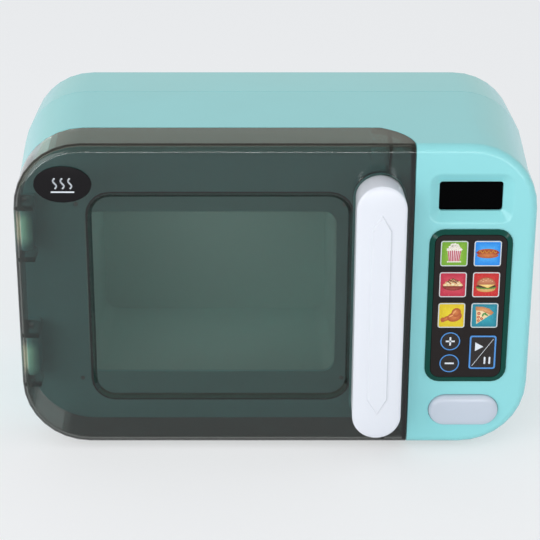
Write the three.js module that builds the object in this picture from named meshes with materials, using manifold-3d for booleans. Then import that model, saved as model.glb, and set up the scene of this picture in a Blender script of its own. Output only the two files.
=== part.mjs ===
// A toy microwave oven: a two-part moulded case with an oven cavity, a smoked door on two hinge
// pins, a control panel with nine keys, and a release button that lifts the door's latch.
// Millimetres. X runs to the right, Y to the back and Z up. The origin is on the ground, under the middle.

import * as THREE from "three";
import { mergeVertices } from "three/addons/utils/BufferGeometryUtils.js";
import Module from "manifold-3d";

const wasm = await Module();
wasm.setup();

// Fits and facets that every piece shares
const gap = 0.3; // between two pieces that touch
const overrun = 2; // by which a cut passes the face it opens
const weld = 0.001; // points closer than this are one point
const cornerSteps = 8; // facets in a quarter turn of a large corner
const edgeSteps = 5; // the same on a smaller corner
const roundSteps = 10; // facets around a pin, a boss or a hole
const smallSteps = 8; // the same on small posts and screws
const filletSteps = 3; // facets across a rounded edge
const domeSteps = 2; // facets down a lamp's dome
const ovalSteps = 24; // facets around the badge
const quarter = Math.PI / 2;

// Case
const shell = {
  width: 295, // over the door, before the sides flare
  height: 186.4, // without the feet
  depth: 150, // face to back, without the handle
  corner: 39.5, // radius of the outline's four corners
  wall: 2.2,
  draft: 1, // by which each side draws in from the parting line to the face
  rearDraft: 1.2, // the same, from the parting line to the back
  flare: 3.5, // by which each side stands out further at the parting line
  faceFillet: 4.5,
  backFillet: 8,
  parting: 98, // from the face back to the parting line
};
const tongue = {
  reach: 4, // of the rear cover's lip into the front housing
  wall: 1.4,
  root: 2, // length over which the lip joins the cover's wall
};
const foot = {
  lift: 3, // height of the case's lowest line above the ground
  radius: 7,
  pegRadius: 2.5,
  pegReach: 2.6, // past the inside of the case's wall
  pegHead: 3.3, // radius of the bead that holds the peg
  frontSetback: 46, // behind the face
  rearSetback: 14, // before the back
  sideInset: 44.5, // from the case's side
};

// Door and the seam between it and the control panel
const panel = {
  width: 70.2, // from the seam to the case's right side
  wall: 2.5,
  stackShift: 2.4, // by which display, keypad and button sit left of the panel's middle
};
const door = {
  depth: 30.5,
  wall: 2,
  sweep: 34.84, // radius of the seam, seen from above
  seamGap: 0.5, // beside the control panel
  rimGap: 1, // behind the door's rear edge
};
const handle = {
  width: 26.9, // where it stands in the door
  reach: 21, // proud of the face
  topMargin: 18.7, // from the case's top
  bottomMargin: 14.8, // from the case's lowest line
  seamLand: 5.15, // flat strip between the handle's well and the seam
  ring: 0.5, // open ring around the handle
  well: 3, // depth of the well that it stands in
  wellWall: 1, // of the tube around the well
  flare: 0.45, // by which its front is wider on each side
  fillet: 1.2,
  wall: 2.6,
};
const handleScrew = {
  headRadius: 3,
  headHeight: 2,
  shankRadius: 1.4,
  length: 12,
  bossRadius: 4,
  endMargin: 34, // from the handle's end
};
const facet = {
  width: 11.4, // raised hexagon on the handle's front
  rise: 0.7,
  tipMargin: 15.7, // from the handle's end to the hexagon's point
  shoulder: 9.8, // from the point down to the full width
  bevel: 0.7,
};
const pane = {
  leftMargin: 42.8, // from the case's side to the recess's edge
  handleLand: 1.3, // flat strip between the recess and the handle's well
  topMargin: 29.9,
  bottomMargin: 30.5,
  corner: 12.5,
  recess: 2.5,
  slope: 2, // width of the sloping step
};
const doorRib = {
  wall: 2.2,
  nearShift: 4.4, // right of the handle's middle, where it meets the well
  farShift: 5.8, // the same, where it meets the door's top or bottom wall
};
const hinge = {
  inset: 6, // of the axis from the case's side
  setback: 16, // of the axis behind the face
  pinRadius: 1.4,
  pinPastEar: 0.7,
  earWall: 2.2,
  earRadius: 6.2,
  lugRadius: 3.8,
  notch: 1.9, // room around a lug in the door's side wall
};
const badge = {
  width: 32.2,
  height: 21.2,
  thickness: 1.2,
  bevel: 0.5,
  sideMargin: 29.6, // from the case's side to the badge's middle
  topMargin: 23.5, // from the case's top to the badge's middle
};

// Oven cavity
const cavity = {
  leftMargin: 37.5, // from the case's side to the opening
  seamMargin: 41.3, // from the seam to the opening
  topMargin: 51.4,
  bottomMargin: 33,
  corner: 8,
  back: 125, // of its back wall, behind the face
  sideDraft: 3,
  wall: 2,
  flange: 8,
  flangeWall: 1.6,
};
const linerScrew = {
  headRadius: 2.6,
  headHeight: 1.6,
  shankRadius: 1.2,
  length: 6,
  bossRadius: 3,
  flangeInset: 3.7, // of the screws from the flange's edge
};
const lamp = {
  width: 26,
  depth: 16,
  corner: 3,
  lip: 2.4, // by which the lens's flange overlaps the ceiling
  lipWall: 1.4,
  drop: 1, // of the lens below the ceiling
  setback: 76, // behind the face
};
const lampBoard = {
  width: 48,
  depth: 18,
  wall: 1.6,
  height: 10, // above the cavity's ceiling
  postRadius: 3,
  stakeRadius: 1.3,
  stakeReach: 1.2,
  postInset: 4,
};
const led = {
  radius: 2.5,
  length: 5,
  rimRadius: 2.9,
  rimHeight: 1,
};

// Display, keypad and the electronics behind them, with heights as shares of the case's height
const displayShare = 0.1539;
const glassShare = 0.0928;
const keyShare = 0.0821;
const playShare = 0.1132;
const signShare = 0.0748;
const buttonShare = 0.1019;
const display = {
  width: 46.7,
  height: displayShare * shell.height,
  corner: 6,
  glassWidth: 35.6,
  glassHeight: glassShare * shell.height,
  glassCorner: 1.8,
  recess: 4,
  skin: 1.8,
  glassWall: 1.4,
  shift: 0.8, // left of the keypad's middle
  moduleWall: 2.8,
  moduleMargin: 1.5,
};
const key = {
  size: keyShare * shell.height,
  corner: 1.5,
  columnGap: 3.5,
  rowGap: 3.7,
  playWidth: 15.3,
  playHeight: playShare * shell.height,
  playGap: 5, // between the lowest food key and the play key
  signPitch: signShare * shell.height, // of the plus key above the minus key
  signGap: 2.6, // between the plus key and the minus key
  proud: 0.2, // of the overlay
  lip: 0.7,
  lipWall: 1.2,
  stemRadius: 3,
  travel: 0.8,
};
const keypad = {
  sideMargin: 6.4,
  topMargin: 6.6,
  bottomMargin: 8.5,
  corner: 8.5,
  border: 3,
  proud: 1.7,
  edge: 0.5, // height of the border's outer edge
  sleeveInset: 2,
  ledge: 1.1,
  ledgeWall: 1.6,
  overlayWall: 1.6,
  overlayDrop: 0.2,
};
const membrane = {
  wall: 1,
  dome: 0.8,
  domeRadius: 4,
  domeTopRadius: 2.6,
  domeGap: 0.2, // left over when a key is fully down
};
const board = {
  width: 44,
  wall: 1.6,
  corner: 14,
  postRadius: 2.2,
  stakeRadius: 1.2,
  stakeReach: 1,
  postSpread: 16,
  edge: 1.2, // of board past its posts
};

// Release button and latch
const button = {
  width: 40.4,
  height: buttonShare * shell.height,
  proud: 3,
  crown: 2, // part of the height that is domed
  lip: 1.1,
  lipWall: 1.5,
  travel: 3,
  plungerWidth: 12,
  plungerHeight: 8,
  plungerDrop: 7.5, // of the plunger's underside below the button's middle
  plungerShift: 9, // of the plunger left of the button's middle
  guideWall: 2.5,
  guideSetback: 20, // behind the face
  guideRim: 4,
};
const latch = {
  wall: 2.5,
  rimClearance: 0.5,
  width: 15,
  bottom: 10.5, // above the case's lowest line
  armHeight: 8,
  armOverlap: 1.5, // of the arm's underside below the plunger's top
  topMargin: 2, // of the plate above the arm
  shelf: 6.4,
  shelfWall: 1.6,
  railWall: 1.7,
  railLip: 1.4,
  railReach: 12,
};
const hook = {
  width: 5,
  height: 4,
  barbRise: 2.3, // of the barb above the shank
  bottom: 15.5, // above the case's lowest line
  seamInset: 26.3, // of its middle from the seam
  barb: 3.8,
  play: 0.5,
  slotMargin: 0.9,
  slotSwing: 2.2, // room on the right for the hook's arc
};
const spring = {
  radius: 2.3,
  wireRadius: 0.35,
  turns: 6,
  turnSteps: 8,
  wireSides: 5,
  length: 15.5,
  seatWall: 1.8,
};

// Rear cover: housing screws, speaker, battery box and power switch
const boss = {
  radius: 3.9,
  bore: 1.6,
  boreDepth: 12,
  counterbore: 3.5,
  towerRadius: 5.4,
  floor: 3,
  leftInset: 22, // from the case's left side
  rightInset: 15.5, // from the case's right side
  rightSetback: 18, // of the right bosses' front ends behind the face
  webWall: 2,
};
const bossShares = [0.13, 0.855]; // of the case's height, on the left
const rightBossShares = [0.18, 0.79]; // of the case's height, on the right
const screw = {
  headRadius: 2.9,
  headHeight: 2.2,
  shankRadius: 1.3,
  length: 13,
};
const speaker = {
  radius: 20,
  rimWall: 1.6,
  coneRadius: 16,
  magnetRadius: 10,
  depth: 12,
  magnetDepth: 6,
  ringWall: 1.6,
  ringReach: 5,
  slotWidth: 2.2,
  slotPitch: 5,
  slotMargin: 4,
};
const battery = {
  radius: 7.1,
  length: 49.2,
  nubRadius: 2.7,
  nubHeight: 1.3,
  capRadius: 6.2,
  clearance: 0.5,
};
const cells = 3;
const contact = {
  wall: 0.5,
  width: 9,
  bumpRadius: 2.6,
  bumpTopRadius: 1.6,
  bumpHeight: 2,
  seat: 0.3,
};
const pocket = {
  wall: 1.8,
  ledge: 2,
  tab: 9, // of the cover above the pocket, for its screw
  coverWall: 1.9,
  coverCorner: 3,
  gripWidth: 1.6,
  gripPitch: 3.4,
  gripDepth: 0.7,
};
const coverScrew = {
  headRadius: 2.4,
  headHeight: 0.7,
  shankRadius: 1.2,
  length: 7,
  bossRadius: 3.2,
  seatWall: 0.5, // of the cover under the screw's head
};
const powerSwitch = {
  slotHeight: 5.4,
  knobWidth: 4.6,
  knobHeight: 4.4,
  recess: 0.5, // of the knob's outer end below the back
  bodyWidth: 16,
  bodyHeight: 8,
  bodyDepth: 6,
  travel: 4,
};
const speakerShare = 0.175; // of the case's height
const pocketShare = 0.5;
const switchShare = 0.82;
const earShares = [0.206, 0.3734, 0.6266, 0.7918]; // of the case's height
const slopeShare = 0.75; // of the plunger's height that its slope takes

// Places worked out from the sizes above
const leftX = -shell.width / 2;
const rightX = shell.width / 2;
const lowZ = foot.lift;
const topZ = foot.lift + shell.height;
const faceY = (handle.reach - shell.depth) / 2;
const seamX = rightX - panel.width;
const sweepX = seamX - door.sweep;
const rimDepth = door.depth + door.rimGap;
const rimBack = rimDepth + shell.wall;
const stackX = rightX - panel.width / 2 - panel.stackShift;
const hingeX = leftX + hinge.inset;
const handleX = seamX - handle.seamLand - handle.ring - handle.width / 2;
const handleLow = lowZ + handle.bottomMargin;
const handleTop = topZ - handle.topMargin;
const wellBack = handle.well + door.wall;
const hookX = seamX - hook.seamInset;
const hookZ = lowZ + hook.bottom;
const latchFront = rimBack + latch.rimClearance;
const latchBack = latchFront + latch.wall;
const flangeFront = rimBack + gap;

function at(depth) {
  return faceY + depth;
}

// A box in the plane of the face, from its four sides
function area(left, right, bottom, top) {
  return { left, right, bottom, top };
}

function grown(box, by) {
  return area(box.left - by, box.right + by, box.bottom - by, box.top + by);
}

function around(x, z, width, height) {
  return area(x - width / 2, x + width / 2, z - height / 2, z + height / 2);
}

const paneBox = area(
  leftX + pane.leftMargin,
  handleX - handle.width / 2 - handle.ring - pane.handleLand,
  lowZ + pane.bottomMargin,
  topZ - pane.topMargin,
);
const cavityBox = area(
  leftX + cavity.leftMargin,
  seamX - cavity.seamMargin,
  lowZ + cavity.bottomMargin,
  topZ - cavity.topMargin,
);
const handleBox = area(
  handleX - handle.width / 2,
  handleX + handle.width / 2,
  handleLow,
  handleTop,
);

// The panel's stack shares out the height that display, keypad and button leave free
const keyRows = 3;
const keypadWidth = 2 * key.size + key.columnGap + 2 * keypad.sideMargin;
const keyBlock = keyRows * key.size + (keyRows - 1) * key.rowGap;
const keypadHeight =
  keypad.topMargin + keyBlock + key.playGap + key.playHeight + keypad.bottomMargin;
const freeHeight = shell.height - display.height - keypadHeight - button.height;
const stackShares = { top: 0.4, upper: 0.0844, lower: 0.204 };
const displayZ = topZ - stackShares.top * freeHeight - display.height / 2;
const keypadTop = displayZ - display.height / 2 - stackShares.upper * freeHeight;
const keypadZ = keypadTop - keypadHeight / 2;
const keypadLow = keypadTop - keypadHeight;
const buttonZ = keypadLow - stackShares.lower * freeHeight - button.height / 2;
const keypadBox = around(stackX, keypadZ, keypadWidth, keypadHeight);
const displayX = stackX - display.shift;
const displayBox = around(displayX, displayZ, display.width, display.height);
const glassBox = around(displayX, displayZ, display.glassWidth, display.glassHeight);
const buttonBox = around(stackX, buttonZ, button.width, button.height);

// Layers behind the panel's face, from the keys to the board
const overlayFront = keypad.overlayDrop - keypad.proud;
const overlayBack = overlayFront + keypad.overlayWall;
const keyLipFront = overlayBack + gap;
const keyLipBack = keyLipFront + key.lipWall;
const glassFront = display.recess + display.skin + gap;
const boardFront = glassFront + display.glassWall + gap + display.moduleWall + gap;
const membraneBack = boardFront - gap;
const domeFront = membraneBack - membrane.wall - membrane.dome;
const keyStemBack = domeFront - key.travel - membrane.domeGap;

// Solids: closed geometries that can be joined and cut
function solid(geometry) {
  const bare = geometry.clone();
  bare.deleteAttribute("normal");
  bare.deleteAttribute("uv");
  const merged = mergeVertices(bare, weld);
  const corners = merged.index.array;
  const kept = [];
  for (let i = 0; i < corners.length; i += 3) {
    const [a, b, c] = [corners[i], corners[i + 1], corners[i + 2]];
    if (a !== b && b !== c && c !== a) kept.push(a, b, c);
  }
  const made = manifold(merged.attributes.position.array, kept);
  if (made.volume() > 0) return made;
  return manifold(merged.attributes.position.array, kept.reverse());
}

function manifold(vertProperties, triangles) {
  const triVerts = new Uint32Array(triangles);
  return new wasm.Manifold(new wasm.Mesh({ numProp: 3, vertProperties, triVerts }));
}

function geometryOf(made) {
  const mesh = made.getMesh();
  const positions = new THREE.BufferAttribute(new Float32Array(mesh.vertProperties), 3);
  const geometry = new THREE.BufferGeometry().setAttribute("position", positions);
  geometry.setIndex(new THREE.BufferAttribute(mesh.triVerts, 1));
  geometry.computeVertexNormals();
  return geometry;
}

function joined(...solids) {
  return solids.reduce((sum, next) => sum.add(next));
}

function cut(made, ...tools) {
  return tools.reduce((rest, tool) => rest.subtract(tool), made);
}

// Outlines drawn on the face, in X and Z
function rectangle(box) {
  const shape = new THREE.Shape();
  shape.moveTo(box.left, box.bottom);
  shape.lineTo(box.right, box.bottom);
  shape.lineTo(box.right, box.top);
  shape.lineTo(box.left, box.top);
  shape.closePath();
  return shape;
}

function ring(box, radius, depth, steps = edgeSteps) {
  const y = at(depth);
  const centres = [
    [box.right - radius, box.top - radius],
    [box.left + radius, box.top - radius],
    [box.left + radius, box.bottom + radius],
    [box.right - radius, box.bottom + radius],
  ];
  return centres.flatMap(([x, z], turn) =>
    Array.from({ length: steps + 1 }, (_, i) => {
      const angle = quarter * (turn + i / steps);
      const across = radius * Math.cos(angle);
      const up = radius * Math.sin(angle);
      return new THREE.Vector3(x + across, y, z + up);
    }),
  );
}

// A skin through rings of equal counts, closed by a flat cap at each end
function loft(rings) {
  const count = rings[0].length;
  const points = rings.flat();
  const index = [];
  for (let r = 0; r + 1 < rings.length; r++) {
    for (let i = 0; i < count; i++) {
      const a = r * count + i;
      const b = r * count + ((i + 1) % count);
      index.push(a, b, a + count, b, b + count, a + count);
    }
  }
  const flat = rings[0].map((p) => new THREE.Vector2(p.x, p.z));
  const last = (rings.length - 1) * count;
  for (const [a, b, c] of THREE.ShapeUtils.triangulateShape(flat, [])) {
    index.push(c, b, a, last + a, last + b, last + c);
  }
  const geometry = new THREE.BufferGeometry().setFromPoints(points);
  geometry.setIndex(index);
  return solid(geometry);
}

// A rounded block between two depths; the front may differ from the back by an inset
function block(box, radius, front, back, frontInset = 0, steps = edgeSteps) {
  const nose = ring(grown(box, -frontInset), radius - frontInset, front, steps);
  return loft([nose, ring(box, radius, back, steps)]);
}

// Shapes carried along Y, Z and X
function plate(shape, front, back) {
  const options = { depth: back - front, bevelEnabled: false, curveSegments: cornerSteps };
  const geometry = new THREE.ExtrudeGeometry(shape, options);
  geometry.rotateX(quarter);
  geometry.translate(0, at(back), 0);
  return solid(geometry);
}

function column(shape, bottom, top) {
  const options = { depth: top - bottom, bevelEnabled: false, curveSegments: edgeSteps };
  const geometry = new THREE.ExtrudeGeometry(shape, options);
  geometry.translate(0, 0, bottom);
  return solid(geometry);
}

function bar(shape, left, right) {
  const options = { depth: right - left, bevelEnabled: false, curveSegments: cornerSteps };
  const geometry = new THREE.ExtrudeGeometry(shape, options);
  const alongX = new THREE.Matrix4().makeBasis(
    new THREE.Vector3(0, 1, 0),
    new THREE.Vector3(0, 0, 1),
    new THREE.Vector3(1, 0, 0),
  );
  geometry.applyMatrix4(alongX);
  geometry.translate(left, 0, 0);
  return solid(geometry);
}

function box(sides, front, back) {
  return plate(rectangle(sides), front, back);
}

// Round pieces: a profile of [radius, distance] pairs turned about an axis
function turned(profile, steps = roundSteps) {
  const points = profile.map(([radius, along]) => new THREE.Vector2(radius, along));
  return new THREE.LatheGeometry(points, steps);
}

// Turned about a line from front to back; distance runs backwards from the depth given
function turnedAlongY(profile, x, z, depth, steps = roundSteps) {
  const geometry = turned(profile, steps);
  geometry.translate(x, at(depth), z);
  return solid(geometry);
}

function turnedAlongZ(profile, x, y, z, steps = roundSteps) {
  const geometry = turned(profile, steps);
  geometry.rotateX(quarter);
  geometry.translate(x, y, z);
  return solid(geometry);
}

function rod(radius, x, z, front, back, steps = roundSteps) {
  const profile = [[0, 0], [radius, 0], [radius, back - front], [0, back - front]];
  return turnedAlongY(profile, x, z, front, steps);
}

function post(radius, x, y, bottom, top, steps = roundSteps) {
  const profile = [[0, 0], [radius, 0], [radius, top - bottom], [0, top - bottom]];
  return turnedAlongZ(profile, x, y, bottom, steps);
}

// How far each side stands out: it flares from behind the door to the parting line
function flareAt(depth) {
  const length = shell.parting - rimDepth;
  const reach = Math.min(Math.max(depth - rimDepth, 0), length);
  return (shell.flare * reach) / length;
}

// The case's outline at a depth, drawn in from its sides
function outline(depth, inset) {
  const ahead = Math.max(shell.parting - depth, 0) / shell.parting;
  const behind = Math.max(depth - shell.parting, 0) / (shell.depth - shell.parting);
  const drawn = inset + shell.draft * ahead + shell.rearDraft * behind;
  const out = flareAt(depth);
  const sides = grown(area(leftX - out, rightX + out, lowZ, topZ), -drawn);
  return ring(sides, shell.corner - drawn, depth, cornerSteps);
}

function underside(depth) {
  return Math.min(...outline(depth, 0).map((point) => point.z));
}

// Rings of a rounded edge: its inset shrinks as the depth grows
function filletStations(radius, face, steps) {
  return Array.from({ length: steps + 1 }, (_, i) => {
    const angle = (quarter * i) / steps;
    return [face + radius * (1 - Math.cos(angle)), radius * (1 - Math.sin(angle))];
  });
}

function caseBlock(front, back, inset, fillet = 0) {
  const nose = fillet > 0 ? filletStations(fillet, front, filletSteps) : [[front, 0]];
  const bends = [rimDepth, shell.parting].filter((depth) => depth > front && depth < back);
  const stations = [...nose, ...bends.map((depth) => [depth, 0]), [back, 0]];
  return loft(stations.map(([depth, more]) => outline(depth, inset + more)));
}

// The door's side of the seam, seen from above, grown to the right by an offset
function doorPlan(offset, back) {
  const radius = door.sweep + offset;
  const reach = Math.min(back, rimDepth);
  const end = Math.asin(reach / radius);
  const shape = new THREE.Shape();
  shape.moveTo(leftX - overrun, at(-overrun));
  shape.lineTo(sweepX + radius, at(-overrun));
  shape.absarc(sweepX, faceY, radius, 0, end, false);
  if (back > reach) shape.lineTo(sweepX + radius * Math.cos(end), at(back));
  shape.lineTo(leftX - overrun, at(back));
  shape.closePath();
  return shape;
}

function doorSide(offset, back) {
  return column(doorPlan(offset, back), lowZ - overrun, topZ + overrun);
}

// Materials
const colours = {
  aqua: 0x96dce2,
  smoke: 0x2d5449,
  white: 0xf4f5f7,
  black: 0x111214,
  bezelGreen: 0x0e4a40,
  rubber: 0x3a3d40,
  steel: 0xb9bcc0,
  spring: 0x8e9296,
  boardGreen: 0x1c6b46,
  clear: 0xe8eef0,
  silicone: 0xd7dadb,
  lime: 0x8fcf3c,
  sky: 0x37b1e6,
  pink: 0xe0305c,
  orange: 0xf0562a,
  yellow: 0xf7c51e,
  teal: 0x1d97b4,
  night: 0x1a1c20,
  cell: 0x2f5fb5,
};

function finish(colour, roughness = 0.35, metalness = 0) {
  return new THREE.MeshStandardMaterial({ color: colours[colour], roughness, metalness });
}

// The assembly: a group for the case and one for each piece that moves
const toy = new THREE.Group();
const doorGroup = new THREE.Group();
doorGroup.position.set(hingeX, at(hinge.setback), 0);
toy.add(doorGroup);

// Adds a solid to a group: one modelled in the toy's frame, or one about its own middle with a place
function addPiece(name, made, material, group = toy, place = new THREE.Vector3()) {
  const mesh = new THREE.Mesh(geometryOf(made), material);
  mesh.name = name;
  mesh.position.copy(place).sub(group.position);
  group.add(mesh);
}

// Where things stand in the case
const earHeights = earShares.map((share) => lowZ + share * shell.height);
const hingePairs = [
  { name: "lower", bottom: earHeights[0], top: earHeights[1] },
  { name: "upper", bottom: earHeights[2], top: earHeights[3] },
];
const leftBosses = bossShares.map((share) => [
  leftX + boss.leftInset,
  lowZ + share * shell.height,
]);
const rightBosses = rightBossShares.map((share) => [
  rightX - boss.rightInset,
  lowZ + share * shell.height,
]);
const linerBox = grown(cavityBox, cavity.flange);
const boardTopZ = displayBox.top + display.skin + board.postRadius + gap;
const boardLowZ = keypadBox.bottom - board.postRadius - gap;
const boardPosts = [boardLowZ, boardTopZ].flatMap((z) => [
  [stackX - board.postSpread / 2, z],
  [stackX + board.postSpread / 2, z],
]);
const feetPlaces = [
  [leftX + foot.sideInset, foot.frontSetback],
  [rightX - foot.sideInset, foot.frontSetback],
  [leftX + foot.sideInset, shell.depth - foot.rearSetback],
  [rightX - foot.sideInset, shell.depth - foot.rearSetback],
];
const linerScrewPlaces = [
  [linerBox.left + linerScrew.flangeInset, linerBox.bottom + linerScrew.flangeInset],
  [linerBox.right - linerScrew.flangeInset, linerBox.bottom + linerScrew.flangeInset],
  [linerBox.left + linerScrew.flangeInset, linerBox.top - linerScrew.flangeInset],
  [linerBox.right - linerScrew.flangeInset, linerBox.top - linerScrew.flangeInset],
];
const switchSlotWidth = powerSwitch.knobWidth + powerSwitch.travel + 2 * gap;
const linerHole = linerScrew.shankRadius + gap;
const rearX = (linerBox.right + rightX - shell.wall) / 2;
const speakerZ = lowZ + speakerShare * shell.height;
const pocketZ = lowZ + pocketShare * shell.height;
const switchZ = lowZ + switchShare * shell.height;
const backInside = shell.depth - shell.wall;
const cellPitch = 2 * battery.radius + battery.clearance;
const cellLength = battery.length + battery.nubHeight;
const contactRoom = contact.seat + contact.wall + contact.bumpHeight + gap;
const pocketWidth = cells * cellPitch + battery.clearance;
const pocketHeight = cellLength + 2 * contactRoom;
const pocketBox = around(rearX, pocketZ, pocketWidth, pocketHeight);
const coverBox = area(
  pocketBox.left - pocket.ledge,
  pocketBox.right + pocket.ledge,
  pocketBox.bottom - pocket.ledge,
  pocketBox.top + pocket.tab,
);
const coverScrewZ = pocketBox.top + pocket.tab / 2 + pocket.wall / 2;
const cellsDepth = shell.depth - shell.wall - gap - battery.radius;
const pocketFloor = cellsDepth - battery.radius - gap;
const plungerX = stackX - button.plungerShift;
const plungerLow = buttonZ - button.plungerDrop;
const plungerTop = plungerLow + button.plungerHeight;
const armLow = plungerTop - latch.armOverlap;
const armTop = armLow + latch.armHeight;
const latchBox = area(
  hookX - latch.width / 2 + hook.slotSwing / 2,
  hookX + latch.width / 2 + hook.slotSwing / 2,
  lowZ + latch.bottom,
  armTop + latch.topMargin,
);
const slopeStart = latchFront - latch.rimClearance;

// Front housing: case wall, rim around the cavity, control panel, and what they carry
function frontHousing() {
  const whole = caseBlock(0, shell.parting, 0, shell.faceFillet);
  const doorSpace = doorSide(door.seamGap, rimDepth);
  const behindRim = caseBlock(rimBack, shell.parting + overrun, shell.wall);
  const innerFillet = shell.faceFillet - shell.wall;
  const behindPanel = cut(
    caseBlock(panel.wall, rimBack + overrun, shell.wall, innerFillet),
    doorSide(door.seamGap + shell.wall, rimBack + 2 * overrun),
  );
  const carcass = cut(whole, doorSpace, behindRim, behindPanel);
  const withParts = joined(
    carcass,
    displayFunnelSkin(),
    ...hingePairs.map(hingeLug),
    ...leftBosses.map(([x, z]) => rod(boss.radius, x, z, rimBack - gap, shell.parting - gap)),
    ...rightBosses.map(rightBoss),
    ...boardPosts.map(([x, z]) => boardPost(x, z)),
    ...linerScrewPlaces.map(([x, z]) =>
      rod(linerScrew.bossRadius, x, z, rimBack - gap, rimBack + gap / 2, smallSteps),
    ),
    latchRail(latchBox.left - gap, -1),
    latchRail(latchBox.right + gap, 1),
    springSeat(),
    buttonGuide(),
  );
  return cut(
    withParts,
    block(cavityBox, cavity.corner, rimDepth - overrun, rimBack + overrun),
    displayFunnel(),
    keypadHole(),
    stadium(grown(buttonBox, gap), -overrun, panel.wall + overrun),
    box(hookSlot(), rimDepth - overrun, rimBack + gap),
    ...hingePairs.map(({ bottom, top }) =>
      post(hinge.pinRadius + gap, hingeX, at(hinge.setback), bottom, top),
    ),
    ...[...leftBosses, ...rightBosses].map(([x, z]) =>
      rod(boss.bore, x, z, shell.parting - boss.boreDepth, shell.parting + overrun, smallSteps),
    ),
    ...linerScrewPlaces.map(([x, z]) =>
      rod(linerHole, x, z, rimDepth - overrun, rimBack + overrun, smallSteps),
    ),
    ...feetPlaces.slice(0, 2).map(([x, depth]) => footHole(x, depth)),
  );
}

function stadium(sides, front, back, steps = edgeSteps) {
  const radius = Math.min(sides.top - sides.bottom, sides.right - sides.left) / 2;
  return block(sides, radius, front, back, 0, steps);
}

function displayFunnelSkin() {
  const behind = display.recess + display.skin;
  const outer = grown(displayBox, display.skin);
  const inner = grown(glassBox, display.skin);
  const front = ring(outer, display.corner + display.skin, panel.wall / 2);
  const back = ring(inner, display.glassCorner + display.skin, behind);
  return loft([front, back]);
}

function displayFunnel() {
  return loft([
    ring(displayBox, display.corner, -overrun),
    ring(displayBox, display.corner, 0),
    ring(glassBox, display.glassCorner, display.recess),
    ring(glassBox, display.glassCorner, display.recess + display.skin + overrun),
  ]);
}

function keypadHole() {
  const sleeve = grown(keypadBox, gap - keypad.sleeveInset);
  const radius = keypad.corner - keypad.sleeveInset + gap;
  return block(sleeve, radius, -overrun, panel.wall + overrun);
}

// A lug that stands forward from the rim, with a round nose about the hinge's axis
function hingeLug({ bottom, top }) {
  const margin = hinge.earWall / 2 + gap;
  const y = at(hinge.setback);
  const shape = new THREE.Shape();
  shape.moveTo(hingeX + hinge.lugRadius, y);
  shape.lineTo(hingeX + hinge.lugRadius, at(rimBack - gap));
  shape.lineTo(hingeX - hinge.lugRadius, at(rimBack - gap));
  shape.lineTo(hingeX - hinge.lugRadius, y);
  shape.absarc(hingeX, y, hinge.lugRadius, 2 * quarter, 4 * quarter, false);
  return column(shape, bottom + margin, top - margin);
}

function rightBoss([x, z]) {
  const front = boss.rightSetback;
  const back = shell.parting - gap;
  const webBack = shell.parting - tongue.reach - gap;
  const half = boss.webWall / 2;
  const web = box(area(x, rightX + shell.flare, z - half, z + half), front, webBack);
  const inside = caseBlock(front, webBack, shell.wall / 2);
  return joined(rod(boss.radius, x, z, front, back), web.intersect(inside));
}

function boardPost(x, z) {
  const body = rod(board.postRadius, x, z, panel.wall - gap, boardFront - gap, smallSteps);
  const stakeBack = boardFront + board.wall + board.stakeReach;
  return joined(body, rod(board.stakeRadius, x, z, boardFront - 2 * gap, stakeBack, smallSteps));
}

function hookSlot() {
  return area(
    hookX - hook.width / 2 - hook.slotMargin,
    hookX + hook.width / 2 + hook.slotSwing,
    hookZ - hook.slotMargin,
    hookZ + hook.height + hook.barbRise + hook.slotMargin,
  );
}

// An upright rail behind the rim, with a lip that keeps the latch's plate against it
function latchRail(x, side) {
  const far = x + side * latch.railWall;
  const lip = x - side * (latch.railLip + gap);
  const low = latchBox.bottom - latch.railLip;
  const top = low + latch.railReach;
  const web = area(Math.min(x, far), Math.max(x, far), low, top);
  const cover = area(Math.min(lip, far), Math.max(lip, far), low, top);
  const lipFront = latchBack + gap;
  return joined(
    box(web, rimBack - gap, lipFront + latch.railLip),
    box(cover, lipFront, lipFront + latch.railLip),
  );
}

const springLow = latchBox.top + gap;
const springTop = springLow + spring.length;
const springX = (latchBox.left + latchBox.right) / 2;
const springDepth = latchFront + latch.shelf / 2;

function springSeat() {
  const half = spring.radius + 2 * spring.wireRadius;
  const low = springTop + gap;
  const seat = area(springX - half, springX + half, low, low + spring.seatWall);
  return box(seat, rimBack - gap, latchFront + latch.shelf);
}

// A wall that stands on the case's floor, with a window that the button's plunger slides in
function buttonGuide() {
  const back = button.guideSetback + button.guideWall;
  const opening = area(
    plungerX - button.plungerWidth / 2 - gap,
    plungerX + button.plungerWidth / 2 + gap,
    plungerLow - gap,
    plungerTop + gap,
  );
  const frame = area(
    opening.left - button.guideRim,
    opening.right + button.guideRim,
    lowZ + shell.draft + shell.wall / 2,
    opening.top + button.guideRim,
  );
  const standing = box(frame, button.guideSetback, back);
  return cut(standing, box(opening, button.guideSetback - overrun, back + overrun));
}

function footHole(x, depth) {
  const low = underside(depth);
  return post(foot.pegRadius + gap, x, at(depth), low - overrun, low + shell.wall + overrun);
}

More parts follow.
